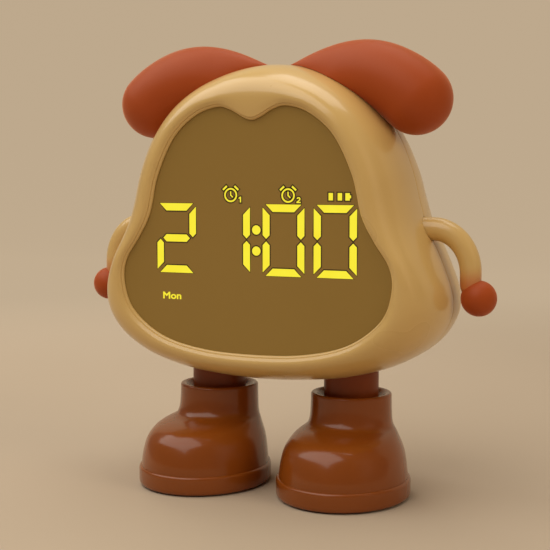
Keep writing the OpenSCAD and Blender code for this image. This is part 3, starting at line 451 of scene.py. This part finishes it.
def stadium(width, height, y):
    """A ring with straight sides and round ends about the USB inlet's axis."""
    half = (width - height) / 2
    ends = [(s * half + height / 2 * math.sin(a) * s, s * height / 2 * math.cos(a))
            for s in (1, -1) for a in np.radians(np.linspace(0, 180, 12))]
    return [(dx, parting_y + y, usb_z + dz) for dx, dz in ends]


back_core = lofted("core", [ring((back_depth - wall / 2) * edge_out(t, rear_powers),
                                 wall / 2 + (back_inset - 0.5) * edge_in(t, rear_powers))
                            for t in np.arange(24, -1, -1) / 24],
                   [(0, parting_y + back_depth - wall / 2, hub_z), (0, parting_y, hub_z)], cream_abs)
post_r = case_well_r + 1
posts = [spun("post", [[post_r, 0.2], [post_r, back_depth]], (x, parting_y, z), "y", cream_abs)
         for x, z in screw_places]
combine(posts[0], "UNION", posts[1:])
combine(posts[0], "INTERSECT", [back_core])

flat_rings = [np.array([0, parting_y + back_depth, hub_z]) * (1 - s) + s * ring(back_depth, back_inset)
              for s in (0.3, 0.7, 0.97)]
rear_rings = flat_rings + [ring(back_depth * edge_out(t, rear_powers), back_inset * edge_in(t, rear_powers))
                           for t in np.arange(44, 0, -1) / 44]
rear_rings += [ring(groove * t, groove_in(t)) for t in (1, 0.7, 0.35, 0)]
rear_rings += [ring(0, tongue_in), ring(-tongue_h, tongue_in), ring(-tongue_h, tongue_in + tongue_t),
               ring(2, tongue_in + tongue_t), ring(3.6, wall + 0.1)]
rear_rings += [ring(inner_y * edge_out(t, rear_powers), wall + (back_inset - 1) * edge_in(t, rear_powers))
               for t in np.arange(3, 17) / 16]
rear_shell = lofted("rear_body", rear_rings,
                    [(0, parting_y + back_depth, hub_z), (0, parting_y + inner_y, hub_z)], cream_abs)
combine(rear_shell, "UNION", [posts[0]])
button_hole_r, hole_flare = button_r + 0.15, 0.4
cutters = joint_cutters() + [grille_pins]
cutters += [spun("cutter", [[button_hole_r, inner_y - 2], [button_hole_r, back_depth - 0.35],
                            [button_hole_r + hole_flare, back_depth + 0.05],
                            [button_hole_r + hole_flare, back_depth + 1]],
                 (i * button_pitch, parting_y, button_z), "y", cream_abs) for i in range(-2, 3)]
cutters += [spun("cutter", [[case_hole_r, -1], [case_hole_r, case_head_y], [case_well_r, case_head_y],
                            [case_well_r, 40]], (x, parting_y, z), "y", cream_abs) for x, z in screw_places]
slot_line = ((inner_y - 2, usb_play), (back_depth - 0.75, usb_play), (back_depth + 0.05, usb_flare),
             (back_depth + 1, usb_flare))
cutters += [lofted("cutter", [stadium(usb_w + more, usb_h + more, y) for y, more in slot_line],
                   [(0, parting_y + y, usb_z) for y in (inner_y - 2, back_depth + 1)], cream_abs)]
combine(rear_shell, "DIFFERENCE", cutters)
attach(rear_shell, "clock")
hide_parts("rear_shell")


# ---- Display window ----
# A smoked acrylic lens under the bezel's lip, with a satin face that hides the unlit display. It is
# cut as one flat plate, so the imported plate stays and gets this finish.

smoked_acrylic = new_material("smoked_acrylic", "#9a7a3a", (60, 2, "#9c7c3c", "#967637"), (0.6, 2, 0.34, 0.42),
                              (0.6, 2, 0.002), ior=1.49, roughness=0.38, specular_ior_level=0.35)


def finish(material, *names):
    """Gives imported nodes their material."""
    for name in names:
        slots = nodes[name].data.materials
        if len(slots) == 0:
            slots.append(material)
        for k in range(len(slots)):
            slots[k] = material


finish(smoked_acrylic, "face_lens")


# ---- Lit numbers ----
# Yellow light-emitting diodes shine through the lens as seven-part numbers, two alarm signs, three
# battery bars and the day of the week. Light fills each mark almost evenly.

lit_yellow = new_material("lit_yellow", "#2a2408", roughness=0.4, emission_strength=0.95)
tree, shader, place = workings(lit_yellow)
tree.links.new(two_tones(tree, place, 5, 1, "#fff33c", "#fae62a"), shader.inputs["Emission Color"])
finish(lit_yellow, "lit_marks")

# A thin dark band lies on the lens round each mark.
mask_ink = new_material("mask_ink", "#4c380e", (0.6, 2, "#503b10", "#48350c"), ior=1.49, roughness=0.5)


def mask_line(mesh, width, y1, y2):
    """A flat band round every outline of a mesh's front faces, as rings of points and their faces."""
    points = np.array([v.co for v in mesh.vertices]) / MM
    spots, names = np.unique(points[:, [0, 2]].round(3), axis=0, return_inverse=True)
    names, after = names.ravel(), {}
    for face in mesh.polygons:
        if face.normal.y < -0.9:
            ends = [names[i] for i in face.vertices]
            for a, b in zip(ends, ends[1:] + ends[:1]):
                if after.get(b) and a in after[b]:
                    after[b].remove(a)
                else:
                    after.setdefault(a, []).append(b)
    found, faces, lap = [], [], -0.02
    while any(after.values()):
        loop = [next(a for a, b in after.items() if b)]
        while after.get(loop[-1]):
            loop.append(after[loop[-1]].pop())
        line = spots[loop[:-1]]
        ahead, behind = np.roll(line, -1, 0) - line, line - np.roll(line, 1, 0)
        out = [np.stack([d[:, 1], -d[:, 0]], 1) / np.linalg.norm(d, axis=1, keepdims=True)
               for d in (ahead, behind)]
        corner = out[0] + out[1]
        corner *= np.minimum(2 / (corner ** 2).sum(1), 1.1)[:, None]
        first, n = sum(len(f) for f in found), len(line)
        for spread, y in ((lap, y1), (width, y1), (width, y2), (lap, y2)):
            flat = line + corner * spread
            found.append(np.stack([flat[:, 0], np.full(n, y), flat[:, 1]], 1))
        faces += [(first + k * n + i, first + k * n + (i + 1) % n, first + (k + 1) % 4 * n + (i + 1) % n,
                   first + (k + 1) % 4 * n + i) for k in range(4) for i in range(n)]
    return np.vstack(found), faces


print_y, mask_w, bold_w, day_t = parting_y + lens_y, 0.42, 0.1, 0.03
mask_edges = new_piece("mask_edges", *mask_line(nodes["lit_marks"].data, mask_w, print_y - 0.015,
                                                print_y + 0.05), mask_ink)
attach(mask_edges, "clock")

day_data = bpy.data.curves.new("day", "FONT")
day_data.body = "Mon"
day_data.size = 3 * MM
day_data.extrude = day_t * MM
day_mark = placed("day_mark", day_data)
day_mesh = bpy.data.meshes.new_from_object(day_mark.evaluated_get(bpy.context.evaluated_depsgraph_get()))
bpy.data.objects.remove(day_mark)
spots = np.array([v.co for v in day_mesh.vertices])
low, high = spots.min(0), spots.max(0)
day_x, day_z = (-34.4, -27.4), (68.9, 71.2)
for v, (x, z, d) in zip(day_mesh.vertices, spots):
    v.co = Vector((np.interp(x, (low[0], high[0]), day_x), print_y - (2 * day_t if d > 0 else 0),
                   np.interp(z, (low[1], high[1]), day_z))) * MM
day_mesh.materials.clear()
day_mesh.materials.append(lit_yellow)
day_mark = placed("day_mark", day_mesh)
# A thin band round the letters makes them bold.
day_stroke = new_piece("day_stroke", *mask_line(day_mesh, bold_w, print_y - 0.05, print_y + 0.05),
                       lit_yellow)
for piece in (day_mark, day_stroke):
    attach(piece, "clock")


# ---- Ears ----
# Two soft ears in matt terracotta PVC, slush-moulded, with a velvety skin. Each lies along the top of
# the body with its round end hanging over the cheek, and a peg between the shells holds it.

# The mould's fine spark-eroded grain is drawn at 0.5 mm so that it shows.
soft_pvc = new_material("soft_pvc", "#aa4a1b", (20, 3, "#ae4d1d", "#a54617"), (0.5, 3, 0.44, 0.56),
                        (0.5, 3, 0.012), ior=1.48, roughness=0.5, specular_ior_level=0.25, sheen_weight=0.75,
                        sheen_roughness=0.32, sheen_tint=linear("#f2aa80"), subsurface_weight=0.04,
                        subsurface_radius=(0.004, 0.0015, 0.0007))

ear_h, ear_end_r, ear_end_angle, ear_tip_angle = 24.9, 12.4, 45, 3.5
ear_half_depth, ear_forward, ear_gap = 12.95, 2, 0.12
ear_axis_r = body_r(ear_end_angle) + ear_h - ear_end_r
ear_last_angle = ear_end_angle + math.degrees(math.asin(ear_end_r / ear_axis_r))


def surface_r(angle, y):
    """How far the body's skin is from the hub, in a direction and at a depth."""
    share = np.where(y < 0, -y / front_depth, y / back_depth).clip(0, 1)
    drop = np.where(y < 0, body_r(angle) - bridge_r(angle) - step_lap, back_inset)
    power = np.where(y < 0, edge_power, rear_power(angle))
    return body_r(angle) - drop * (1 - (1 - share ** power) ** (1 / power))


def ear_ring(angle):
    """The ear's section in a direction: an oval whose lower side follows the body."""
    if angle > ear_end_angle:
        turn = math.radians(angle - ear_end_angle)
        half = math.sqrt(max(0, ear_end_r ** 2 - (ear_axis_r * math.sin(turn)) ** 2))
        middle, depth = ear_axis_r * math.cos(turn), ear_half_depth * half / ear_end_r
    else:
        s = math.sin(math.pi / 2 * (angle - ear_tip_angle) / (ear_end_angle - ear_tip_angle))
        top = body_r(angle) + ear_gap + (ear_h - ear_gap) * s ** 1.2
        top += (body_r(ear_end_angle) - body_r(angle)) * s ** 6
        middle = max(body_r(angle) + ear_gap, top - ear_end_r)
        half, depth = top - middle, ear_half_depth * s ** 0.7
    turn = 2 * np.pi * np.arange(72) / 72
    y = depth * np.sin(turn) - ear_forward
    r = np.maximum(middle + half * np.cos(turn), surface_r(angle, y) + ear_gap)
    a = math.radians(angle)
    return np.stack([r * math.sin(a), parting_y + y, hub_z + r * math.cos(a)], 1)


def ear_pole(angle, r):
    """The middle of an ear's end."""
    a = math.radians(angle)
    return np.array([r * math.sin(a), parting_y - ear_forward, hub_z + r * math.cos(a)])


ear_angles = [ear_tip_angle + (ear_end_angle - ear_tip_angle) * (k / 44) ** 1.25 for k in range(1, 45)]
ear_angles += [ear_end_angle + (ear_last_angle - ear_end_angle) * math.sin(math.radians(3.58 * k))
               for k in range(1, 26)]
ear_last_r = ear_axis_r * math.cos(math.radians(ear_last_angle - ear_end_angle))
for side, name in ((1, "ear_right"), (-1, "ear_left")):
    flip = np.array([side, 1, 1])
    ear = lofted(name + "_skin", [ear_ring(a) * flip for a in ear_angles],
                 [ear_pole(ear_tip_angle, body_r(ear_tip_angle) + ear_gap) * flip,
                  ear_pole(ear_last_angle, ear_last_r) * flip], soft_pvc)
    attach(ear, "clock")
    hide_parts(name)


# ---- Arms ----
# Bent cream ABS arms that turn in the body's cheeks. The orange light that the hand reflects onto each
# arm is painted on as a tint that thins out above the hand, so the colour follows the arm's height at rest.

# The painted reflection is full at the hand and gone 6 mm above it.
cream_arm = cream("cream_abs_sprayed", 0.3)
tree, shader, place = workings(cream_arm)
reflection_low, reflection_high = 74.5, 82.5
height = add_node(tree, "ShaderNodeSeparateXYZ", {0: place})
hand_reflection = add_node(tree, "ShaderNodeMapRange", {0: height.outputs["Z"], 1: reflection_high * MM, 2: reflection_low * MM},
                interpolation_type="SMOOTHSTEP")
plain = shader.inputs["Base Color"].links[0].from_socket
# Painted orange reflection of the hand, laid over the plain cream.
tree.links.new(mixed(tree, hand_reflection.outputs[0], plain, "#c4743c"), shader.inputs["Base Color"])

wrist_r, arm_bend_w, arm_bend_h, hand_r, hand_offset = 3.6, 13, 15, 6.2, 2.9
arm_x = body_w / 2 + 2.4 + wrist_r
bend_x, hand_x, hand_z = arm_x - arm_bend_w, arm_x + hand_offset, shoulder_z - 23.4
wrist_z, wrist_lean = hand_z + hand_r * 0.25, hand_offset * 0.6


def piped(name, path, radii, across, sides, *materials):
    """A round rod along points, with a radius at each, where no stretch runs along the vector across."""
    path = np.array(path, float)
    turn = 2 * np.pi * np.arange(sides) / sides
    rings = []
    for k, point in enumerate(path):
        along = path[min(k + 1, len(path) - 1)] - path[max(k - 1, 0)]
        u = np.cross(along, across)
        v = np.cross(along, u)
        u, v = u / np.linalg.norm(u), v / np.linalg.norm(v)
        rings.append(point + radii[k] * (np.outer(np.cos(turn), u) + np.outer(np.sin(turn), v)))
    return lofted(name, rings, [path[0], path[-1]], *materials)


arm_line = [(x, 0, shoulder_z) for x in np.linspace(45, bend_x - 1, 6)]
arm_line += [(bend_x + arm_bend_w * math.sin(a), 0, shoulder_z - arm_bend_h * (1 - math.cos(a)))
             for a in np.radians(np.arange(0, 91, 3))]
arm_line += [(arm_x + wrist_lean * max(0, 2 * s - 1) ** 2, 0,
              (shoulder_z - arm_bend_h) * (1 - s) + wrist_z * s) for s in np.arange(1, 9) / 8]
arm_radii = np.interp(np.arange(len(arm_line)), [0, 6, len(arm_line) - 1],
                      [arm_r - 0.02, arm_r - 0.05, wrist_r])
for side, name in ((1, "arm_right"), (-1, "arm_left")):
    path = [(side * x, parting_y + y, z) for x, y, z in arm_line]
    arm = piped(name + "_rod", path, arm_radii, (0, 1, 0), 64, cream_arm)
    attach(arm, name)
    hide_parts(name)


# ---- Hands ----
# Solid balls of the ears' soft PVC, pressed onto the wrists. The mould's parting line runs round each
# as a very fine raised seam.

seam_h, seam_w, ball_r = 0.05, 0.22, hand_r - 0.03
ball_line = [[ball_r * math.cos(a) + seam_h * math.exp(-(ball_r * math.sin(a) / seam_w) ** 2),
              ball_r * math.sin(a)] for a in np.radians(np.linspace(-89, 89, 56))]
for side, name in ((1, "hand_right"), (-1, "hand_left")):
    hand = spun(name + "_ball", ball_line, (side * hand_x, parting_y, hand_z), "y", soft_pvc, 96)
    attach(hand, "arm_right" if side > 0 else "arm_left")
    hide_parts(name)


# ---- Legs ----
# Two tubes of glossy brown ABS that rise from the boots. A flange at the top of each locks it between
# the two shells.

def brown_abs(name, colour, shade, roughness, coat):
    """Glossy brown ABS: deep even colour, a soft clear gloss and faint flow marks from the mould."""
    return new_material(name, colour, (18, 3, colour, shade), (18, 3, roughness * 0.9, roughness * 1.1),
                        (3, 1, 0.006), ior=1.5, coat_weight=coat, coat_roughness=0.08, specular_ior_level=0.3)


leg_brown = brown_abs("brown_abs_leg", "#82390d", "#78340b", 0.4, 0)
sole_h, flange_z, leg_top_z = 7, body_low + 7.6, body_low + 9.6
toe_out, leg_wall, flange_w = 4.5, 2, 2.4
for side, name in ((1, "leg_right"), (-1, "leg_left")):
    leg = spun(name + "_tube", [[leg_r - 0.3, sole_h + 0.02], [leg_r, sole_h + 0.3], [leg_r, flange_z - 0.02],
                                [leg_r + flange_w, flange_z], [leg_r + flange_w, leg_top_z],
                                [leg_r - leg_wall, leg_top_z], [leg_r - leg_wall, sole_h + 6]],
               (side * leg_x, parting_y + leg_y, 0), "z", leg_brown, 96)
    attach(leg, "clock")
    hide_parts(name)


# ---- Boots ----
# Hollow boots in glossy brown ABS with a bulging toe. The straight shaft meets the toe's dome in a
# crease, and the collar's round lip stands round a dish that the leg comes out of.

boot_brown = brown_abs("brown_abs_boot", "#8c4712", "#83410f", 0.24, 0.3)
boot_h, boot_wall, hollow_top = 35, 2.0, 29.4
collar_r, collar_sink, lip_r, lip_h, lip_w, collar_gap = 14.5, 2.4, 0.85, 0.84, 1.3, 0.12
sole_half_w, toe_reach, heel_reach, upper_inset = 23.5, 36.9, 16.1, 0.9
# Rows of the upper's side: share of its height, and of its reach past the collar at the toe and at the
# sides.
toe_side = [[0, 1, 1], [0.1, 0.995, 0.96], [0.2, 0.97, 0.91], [0.3, 0.93, 0.84], [0.38, 0.88, 0.74],
            [0.45, 0.8, 0.6], [0.5, 0.69, 0.48], [0.54, 0.5, 0.35], [0.575, 0.23, 0.18]]
shaft_side = [[0.6, 0.12, 0.11], [0.64, 0.07, 0.06], [0.7, 0.035, 0.03], [0.82, 0.01, 0.008], [0.97, 0, 0]]
boot_sides = 132
boot_turn = 2 * np.pi * np.arange(boot_sides) / boot_sides


def oval(toe, heel, half_w, z):
    """A level ring that reaches to the toe and to the heel."""
    return np.stack([-half_w * np.sin(boot_turn), (heel - toe) / 2 - (heel + toe) / 2 * np.cos(boot_turn),
                     np.full(boot_sides, z)], 1)


def boot_ring(share, toe, width, inset):
    """A level ring of the upper, from a row of its side."""
    return oval(collar_r + (toe_reach - upper_inset - collar_r) * toe - inset,
                collar_r + (heel_reach - upper_inset - collar_r) * (1 - share) - inset,
                collar_r + (sole_half_w - upper_inset - collar_r) * width - inset,
                sole_h + (boot_h - sole_h) * share)


def at_foot(rings, side):
    """Turns rings out by the feet's angle and moves them to a leg."""
    a = math.radians(side * toe_out)
    turn = np.array([[math.cos(a), -math.sin(a), 0], [math.sin(a), math.cos(a), 0], [0, 0, 1]])
    return [np.atleast_2d(r) @ turn.T + (side * leg_x, parting_y + leg_y, 0) for r in rings]


boot_line = [*flowing(toe_side, [-0.1, 1, 1.03], [0.6, -0.02, 0.02], 6),
             *flowing(shaft_side, [0.57, 0.2, 0.16], [1.06, 0, 0], 5)]
boot_rings = [boot_ring(*row, 0) for row in boot_line]
for a in np.radians([20, 40, 60, 80, 90]):
    boot_rings.append(oval(*[collar_r - lip_r * (1 - math.cos(a))] * 3, boot_h - lip_h + lip_h * math.sin(a)))
for t in np.arange(0, 9) / 8:
    boot_rings.append(oval(*[collar_r - lip_w - (collar_r - lip_w - leg_r - collar_gap) * t] * 3,
                           boot_h - collar_sink * (1 - math.cos(math.pi * t)) / 2))
boot_rings.append(oval(*[leg_r + collar_gap] * 3, hollow_top))
boot_rings += [boot_ring(*row, boot_wall) for row in toe_side[::-1]]
for side, name in ((1, "boot_right"), (-1, "boot_left")):
    boot = lofted(name + "_upper", at_foot(boot_rings, side), None, boot_brown)
    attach(boot, "clock")
    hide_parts(name)


# ---- Soles ----
# Thick soles of the same brown ABS. Their rim stands out all round under the upper as a narrow lip
# that catches the light, and the underside has pockets for the pads and the leg's screw.

toe_pad_y, toe_pad_r, heel_pad_y, heel_pad_r = -20.35, 9, 9.396, 5.5
pocket_play, pocket_depth = 0.15, 1.3
foot_well_r, foot_hole_r, foot_head_z = 3.2, 1.75, 3


def pad_spots(side):
    """The middle and the radius of the round pads under a sole: one at the toe, one at the heel."""
    toe, heel = at_foot([[0, toe_pad_y, 0], [0, heel_pad_y, 0]], side)
    return [(tuple(toe[0]), toe_pad_r), (tuple(heel[0]), heel_pad_r)]


# The sole's edge: how far it is inset, and its height.
sole_line = [(1.0, 0.5), (0.62, 0.58), (0.3, 0.82), (0.08, 1.25), (0, 1.8), (0, 5.9), (0.05, 6.3),
             (0.18, 6.62), (0.4, 6.86), (0.7, 6.98), (1.1, 7.0)]
sole_middle_y = (heel_reach - toe_reach) / 2
for side, name in ((1, "sole_right"), (-1, "sole_left")):
    rings = [oval(toe_reach - i, heel_reach - i, sole_half_w - i, z) for i, z in sole_line]
    poles = [r[0] for r in at_foot([[0, sole_middle_y, 0.5], [0, sole_middle_y, sole_h]], side)]
    sole = lofted(name + "_slab", at_foot(rings, side), poles, boot_brown)
    foot = (side * leg_x, parting_y + leg_y, 0)
    combine(sole, "DIFFERENCE",
            [spun("cutter", [[r + pocket_play, 0], [r + pocket_play, pocket_depth]], spot, "z", boot_brown)
             for spot, r in pad_spots(side)]
            + [spun("cutter", [[foot_well_r, -1], [foot_well_r, foot_head_z], [foot_hole_r, foot_head_z],
                               [foot_hole_r, sole_h + 1]], foot, "z", boot_brown)])
    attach(sole, "clock")
    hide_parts(name)


# ---- Foot pads ----
# Black rubber discs, die-cut from sheet and glued in the soles' pockets. They keep the clock from
# sliding.

pad_rubber = new_material("pad_rubber", "#1d1d1f", None, (0.6, 3, 0.6, 0.85), (0.6, 3, 0.05), ior=1.52,
                          roughness=0.7)


def join(name, pieces):
    """Makes one piece of several."""
    with bpy.context.temp_override(active_object=pieces[0], selected_editable_objects=pieces,
                                   selected_objects=pieces, object=pieces[0]):
        bpy.ops.object.join()
    pieces[0].name = name
    return pieces[0]


for side, name in ((1, "foot_pad_right"), (-1, "foot_pad_left")):
    discs = [spun("disc", [[r - 0.25, 0.0], [r, 0.25], [r, 1.2], [r - 0.1, 1.28]], spot, "z", pad_rubber)
             for spot, r in pad_spots(side)]
    pads = join(name + "_discs", discs)
    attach(pads, "clock")
    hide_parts(name)


# ---- Buttons ----
# Five round push buttons of brown ABS in a row across the back. Each has a dished cap with a raised
# sign, tampo-printed in cream: light, set, less, more and alarm.

sign_cream = new_material("sign_cream", "#e6cfa4", (0.4, 2, "#e9d3a9", "#dfc698"), ior=1.5, roughness=0.45)

sign_low, sign_high = back_depth + 0.2, back_depth + 0.49


def prism(name, ends, material):
    """A straight solid between two equal outlines."""
    n = len(ends[0])
    sides = [(i, (i + 1) % n, n + (i + 1) % n, n + i) for i in range(n)]
    faces = [tuple(range(n))[::-1], tuple(range(n, 2 * n))] + sides
    return new_piece(name, ends[0] + ends[1], faces, material)


def plus(half, arm):
    """The outline of a plus sign, from half its bars' width and their reach."""
    return [(-arm, -half), (-half, -half), (-half, -arm), (half, -arm), (half, -half), (arm, -half),
            (arm, half), (half, half), (half, arm), (-half, arm), (-half, half), (-arm, half)]


def plate(points, x):
    """A flat raised shape on a button, from its outline in [x, z]."""
    return prism("sign", [[(x - px, parting_y + y, button_z + pz) for px, pz in points]
                          for y in (sign_low, sign_high)], sign_cream)


def hoop(outer, inner, x):
    """A flat raised ring on a button."""
    turn = 2 * np.pi * np.arange(40) / 40
    rings = [np.stack([x + r * np.cos(turn), np.full(40, parting_y + y), button_z + r * np.sin(turn)], 1)
             for r, y in ((outer, sign_low), (outer, sign_high), (inner, sign_high), (inner, sign_low))]
    return lofted("sign", rings, None, sign_cream)


def bar(x, dx, dz, width, height, turn=0.0):
    """A flat raised bar on a button, turned about its own middle and then moved."""
    a = math.radians(turn)
    corners = [(i * width / 2, k * height / 2) for i, k in ((-1, -1), (1, -1), (1, 1), (-1, 1))]
    return plate([(dx + px * math.cos(a) - pz * math.sin(a), dz + px * math.sin(a) + pz * math.cos(a))
                  for px, pz in corners], x)


def light_sign(x):
    rays = [bar(x, 2.15 * math.cos(math.radians(t)), 2.15 * math.sin(math.radians(t)), 0.8, 0.34, t)
            for t in range(0, 360, 45)]
    return [hoop(1.25, 0.85, x)] + rays


def set_sign(x):
    return [hoop(1.9, 1.5, x), bar(x, 0, 0.55, 0.34, 1.2), bar(x, 0.45, 0, 0.9, 0.34)]


def less_sign(x):
    return [bar(x, 0, 0, 3.2, 0.6)]


def more_sign(x):
    return [plate(plus(0.3, 1.6), x)]


def alarm_sign(x):
    bell = [(-1.9, -1.0), (1.9, -1.0), (1.3, -0.3), (1.2, 0.7), (0.75, 1.45), (0.25, 1.75), (-0.25, 1.75),
            (-0.75, 1.45), (-1.2, 0.7), (-1.3, -0.3)]
    return [plate(bell, x), bar(x, 0, -1.55, 0.9, 0.5)]


# The cap runs from its stem's end over its flange, which holds it in the shell, to the dished top.
stem_r, stem_y, flange_t, cap_edge, cap_dish = 1.8, 22.0, 1.2, 0.5, 0.15
cap_line = [[stem_r, stem_y], [stem_r, inner_y - flange_t], [button_r + 1, inner_y - flange_t],
            [button_r + 1, inner_y - 0.02], [button_r, inner_y], [button_r, back_depth - 0.1]]
cap_line += [[button_r - cap_edge * (1 - math.cos(a)), back_depth - 0.1 + cap_edge * math.sin(a)]
             for a in np.radians([15, 30, 50, 70, 90])]
cap_line += [[r, back_depth + 0.25 + cap_dish * (r / 3.4) ** 2] for r in (3.4, 2.6, 1.8, 1.0, 0.3)]
for i, name, sign in ((-2, "button_light", light_sign), (-1, "button_set", set_sign),
                      (0, "button_down", less_sign), (1, "button_up", more_sign),
                      (2, "button_alarm", alarm_sign)):
    x = i * button_pitch
    cap = spun("cap", cap_line, (x, parting_y, button_z), "y", boot_brown)
    button = join(name + "_cap", [cap] + sign(x))
    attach(button, name)
    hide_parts(name)


# ---- Screws ----
# Zinc-plated steel screws with round cross heads: four deep in the rear shell's wells, and one up
# through each sole into its leg. One screw of each kind is laid out at its places.

zinc_steel = new_material("zinc_steel", "#aeb0b2", None, (0.8, 4, 0.25, 0.45), metallic=1.0, roughness=0.34)

rows, given = geometry_tree("screw_rows", Geometry="Geometry", Screw="Object", Lay="Rotation", Turn_seed="Int",
                            Material="Material")
screw = add_node(rows, "GeometryNodeObjectInfo", {"Object": given.outputs["Screw"]})
spin = add_node(rows, "FunctionNodeRandomValue", {2: 0.0, 3: math.pi / 2, "Seed": given.outputs["Turn seed"]},
                data_type="FLOAT")
turn = add_node(rows, "ShaderNodeCombineXYZ", {"Z": spin.outputs[1]})
turned = add_node(rows, "FunctionNodeRotateRotation", {0: given.outputs["Lay"], 1: turn.outputs[0]},
                  rotation_space="LOCAL")
laid = add_node(rows, "GeometryNodeInstanceOnPoints", {"Points": given.outputs["Geometry"],
                                                      "Instance": screw.outputs["Geometry"],
                                                      "Rotation": turned.outputs[0]})
close_tree(rows, given, laid)


def one_screw(head_r, head_h, shank_r, length):
    """One screw that stands upside down, head on top, with a round edge and a cross cut into the head."""
    line = [[shank_r * 0.5, -length], [shank_r, -length + 1], [shank_r, 0], [head_r, 0],
            [head_r, head_h * 0.4]]
    line += [[head_r * math.cos(a) ** 0.7, head_h * (0.4 + 0.6 * math.sin(a))]
             for a in np.radians([20, 40, 60, 75, 86])]
    screw = spun("screw", line, (0, 0, 0), "z", zinc_steel, 40)
    cutter = prism("cutter", [[(x, y, z) for x, y in plus(head_r * 0.14, head_r * 0.62)]
                              for z in (head_h * 0.3, head_h + 1)], zinc_steel)
    return combine(screw, "DIFFERENCE", [cutter])


for name, places, lay, sizes, seed in (
        ("case_screws", [(x, parting_y + case_head_y, z) for x, z in screw_places], (-math.pi / 2, 0, 0),
         (2.7, 2.0, 1.4, 18), 3),
        ("leg_screws", [(s * leg_x, parting_y + leg_y, foot_head_z) for s in (-1, 1)], (math.pi, 0, 0),
         (2.9, 1.8, 1.5, 9), 8)):
    spots = bpy.data.meshes.new(name)
    spots.from_pydata([tuple(c * MM for c in p) for p in places], [], [])
    template = one_screw(*sizes)
    screws = grown(name + "_set", spots, rows, Screw=template, Lay=lay, Turn_seed=seed, Material=zinc_steel)
    bpy.data.objects.remove(template)
    soften(screws)
    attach(screws, "clock")
    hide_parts(name)


# ---- USB inlet ----
# A USB-C receptacle, soldered to the main board: a drawn steel shell with a rolled lip, and a black
# plastic tongue inside.

socket_steel = new_material("socket_steel", "#b9bbbd", None, (1.5, 3, 0.16, 0.3), metallic=1.0, roughness=0.22)
black_abs = new_material("black_abs", "#1c1c1e", None, (0.5, 2, 0.35, 0.5), ior=1.54, roughness=0.4)

board_back_y, usb_end, blade_w, blade_h = 16.3, back_depth - 0.6, 6.6, 0.7
socket_line = [(board_back_y, 0), (usb_end - 0.15, 0), (usb_end - 0.04, -0.08), (usb_end, -0.22),
               (usb_end, -0.45), (usb_end - 0.06, -0.6), (usb_end - 0.2, -0.68), (board_back_y + 2, -0.7)]
blade_line = [(board_back_y + 1.6, 0), (usb_end - 1.3, 0), (usb_end - 1.2, -0.2)]
usb_shell, usb_tongue = (
    lofted("part", [stadium(width + more, height + more, y) for y, more in line],
           [(0, parting_y + y, usb_z) for y in (line[0][0], line[-1][0])], material)
    for line, width, height, material in ((socket_line, usb_w, usb_h, socket_steel),
                                          (blade_line, blade_w, blade_h, black_abs)))
usb_inlet = join("usb_inlet", [usb_shell, usb_tongue])
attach(usb_inlet, "clock")
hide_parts("usb_socket")


# ---- Display stack ----
# Behind the lens: a milky diffuser film, a white reflector block with a light well for every mark, and
# the display's circuit board with its diodes. All are hidden once the body is closed.

def speckled(name, colour, shade, marks, roughness, depth=0.0, **more):
    """A finish whose tone wavers between two colours in marks of that width, with a matching relief."""
    return new_material(name, colour, (marks, 3, colour, shade), None, (marks, 3, depth) if depth else None,
                        roughness=roughness, **more)


finish(speckled("milky_film", "#efece2", "#e6e2d6", 12, 0.5), "diffuser_film")
finish(speckled("white_abs", "#f0eee6", "#e4e1d6", 6, 0.35, ior=1.54), "digit_reflector")
finish(speckled("yellow_diode", "#f2dc6a", "#e8cd4d", 0.8, 0.3), "display_leds")
finish(speckled("white_diode", "#f4efdc", "#e9e2c8", 0.8, 0.3), "night_light_leds")


# ---- Circuit boards ----
# Glass-epoxy boards under green solder mask. Copper tracks show through it as fine, paler lines that
# run square to each other.

solder_mask = new_material("solder_mask", "#1c5a38", None, None, (0.7, 2, 0.01), ior=1.5, roughness=0.28)
tree, shader, place = workings(solder_mask)
tracks = add_node(tree, "ShaderNodeTexBrick", {"Vector": place, "Scale": 1000 / 6, "Color1": linear("#1a5735"),
                                              "Color2": linear("#1f6440"), "Mortar": linear("#2f7d53"),
                                              "Mortar Size": 0.03})
tree.links.new(tracks.outputs[0], shader.inputs["Base Color"])
finish(solder_mask, "display_board", "main_board")
finish(speckled("chip_epoxy", "#222326", "#2b2c2f", 0.5, 0.55, 0.01, ior=1.55), "board_chips")
finish(speckled("white_nylon", "#ece8da", "#ddd8c7", 3, 0.45, ior=1.53), "board_connectors")
finish(black_abs, "switch_bodies", "shoulder_washers")
finish(zinc_steel, "display_screws", "board_screws", "tap_sensor")
finish(speckled("flat_cable", "#e9e6dd", "#d4d2ca", 1, 0.4), "ribbon_cable")


# ---- Battery ----
# A lithium pouch cell in soft aluminium foil with a creased face, on a pad of white foam tape, with a
# red lead in PVC to the main board.

finish(speckled("pouch_foil", "#b5b7ba", "#9fa2a6", 7, 0.3, 0.15, metallic=1.0), "battery_pouch")
finish(speckled("foam_tape", "#efede6", "#dedbd2", 0.6, 0.8, 0.05), "battery_tape")
finish(speckled("red_pvc", "#b02a20", "#9a231b", 4, 0.4, ior=1.52), "battery_lead")


# ---- Loudspeaker ----
# A small round loudspeaker in a stamped steel basket behind the holes, sealed by a black foam ring. Its
# paper cone shows faintly through them, and a black lead runs to the main board.

finish(speckled("eva_foam", "#232326", "#303034", 0.5, 0.85, 0.06), "speaker_gasket")
finish(socket_steel, "speaker_frame")
finish(speckled("cone_paper", "#4a4038", "#3b332c", 0.7, 0.8, 0.05), "speaker_cone")
finish(speckled("nickel_magnet", "#9a9a98", "#84847f", 2, 0.3, metallic=1.0), "speaker_magnet")
finish(speckled("black_pvc", "#1e1e20", "#2a2a2c", 3, 0.45, ior=1.52), "speaker_lead")
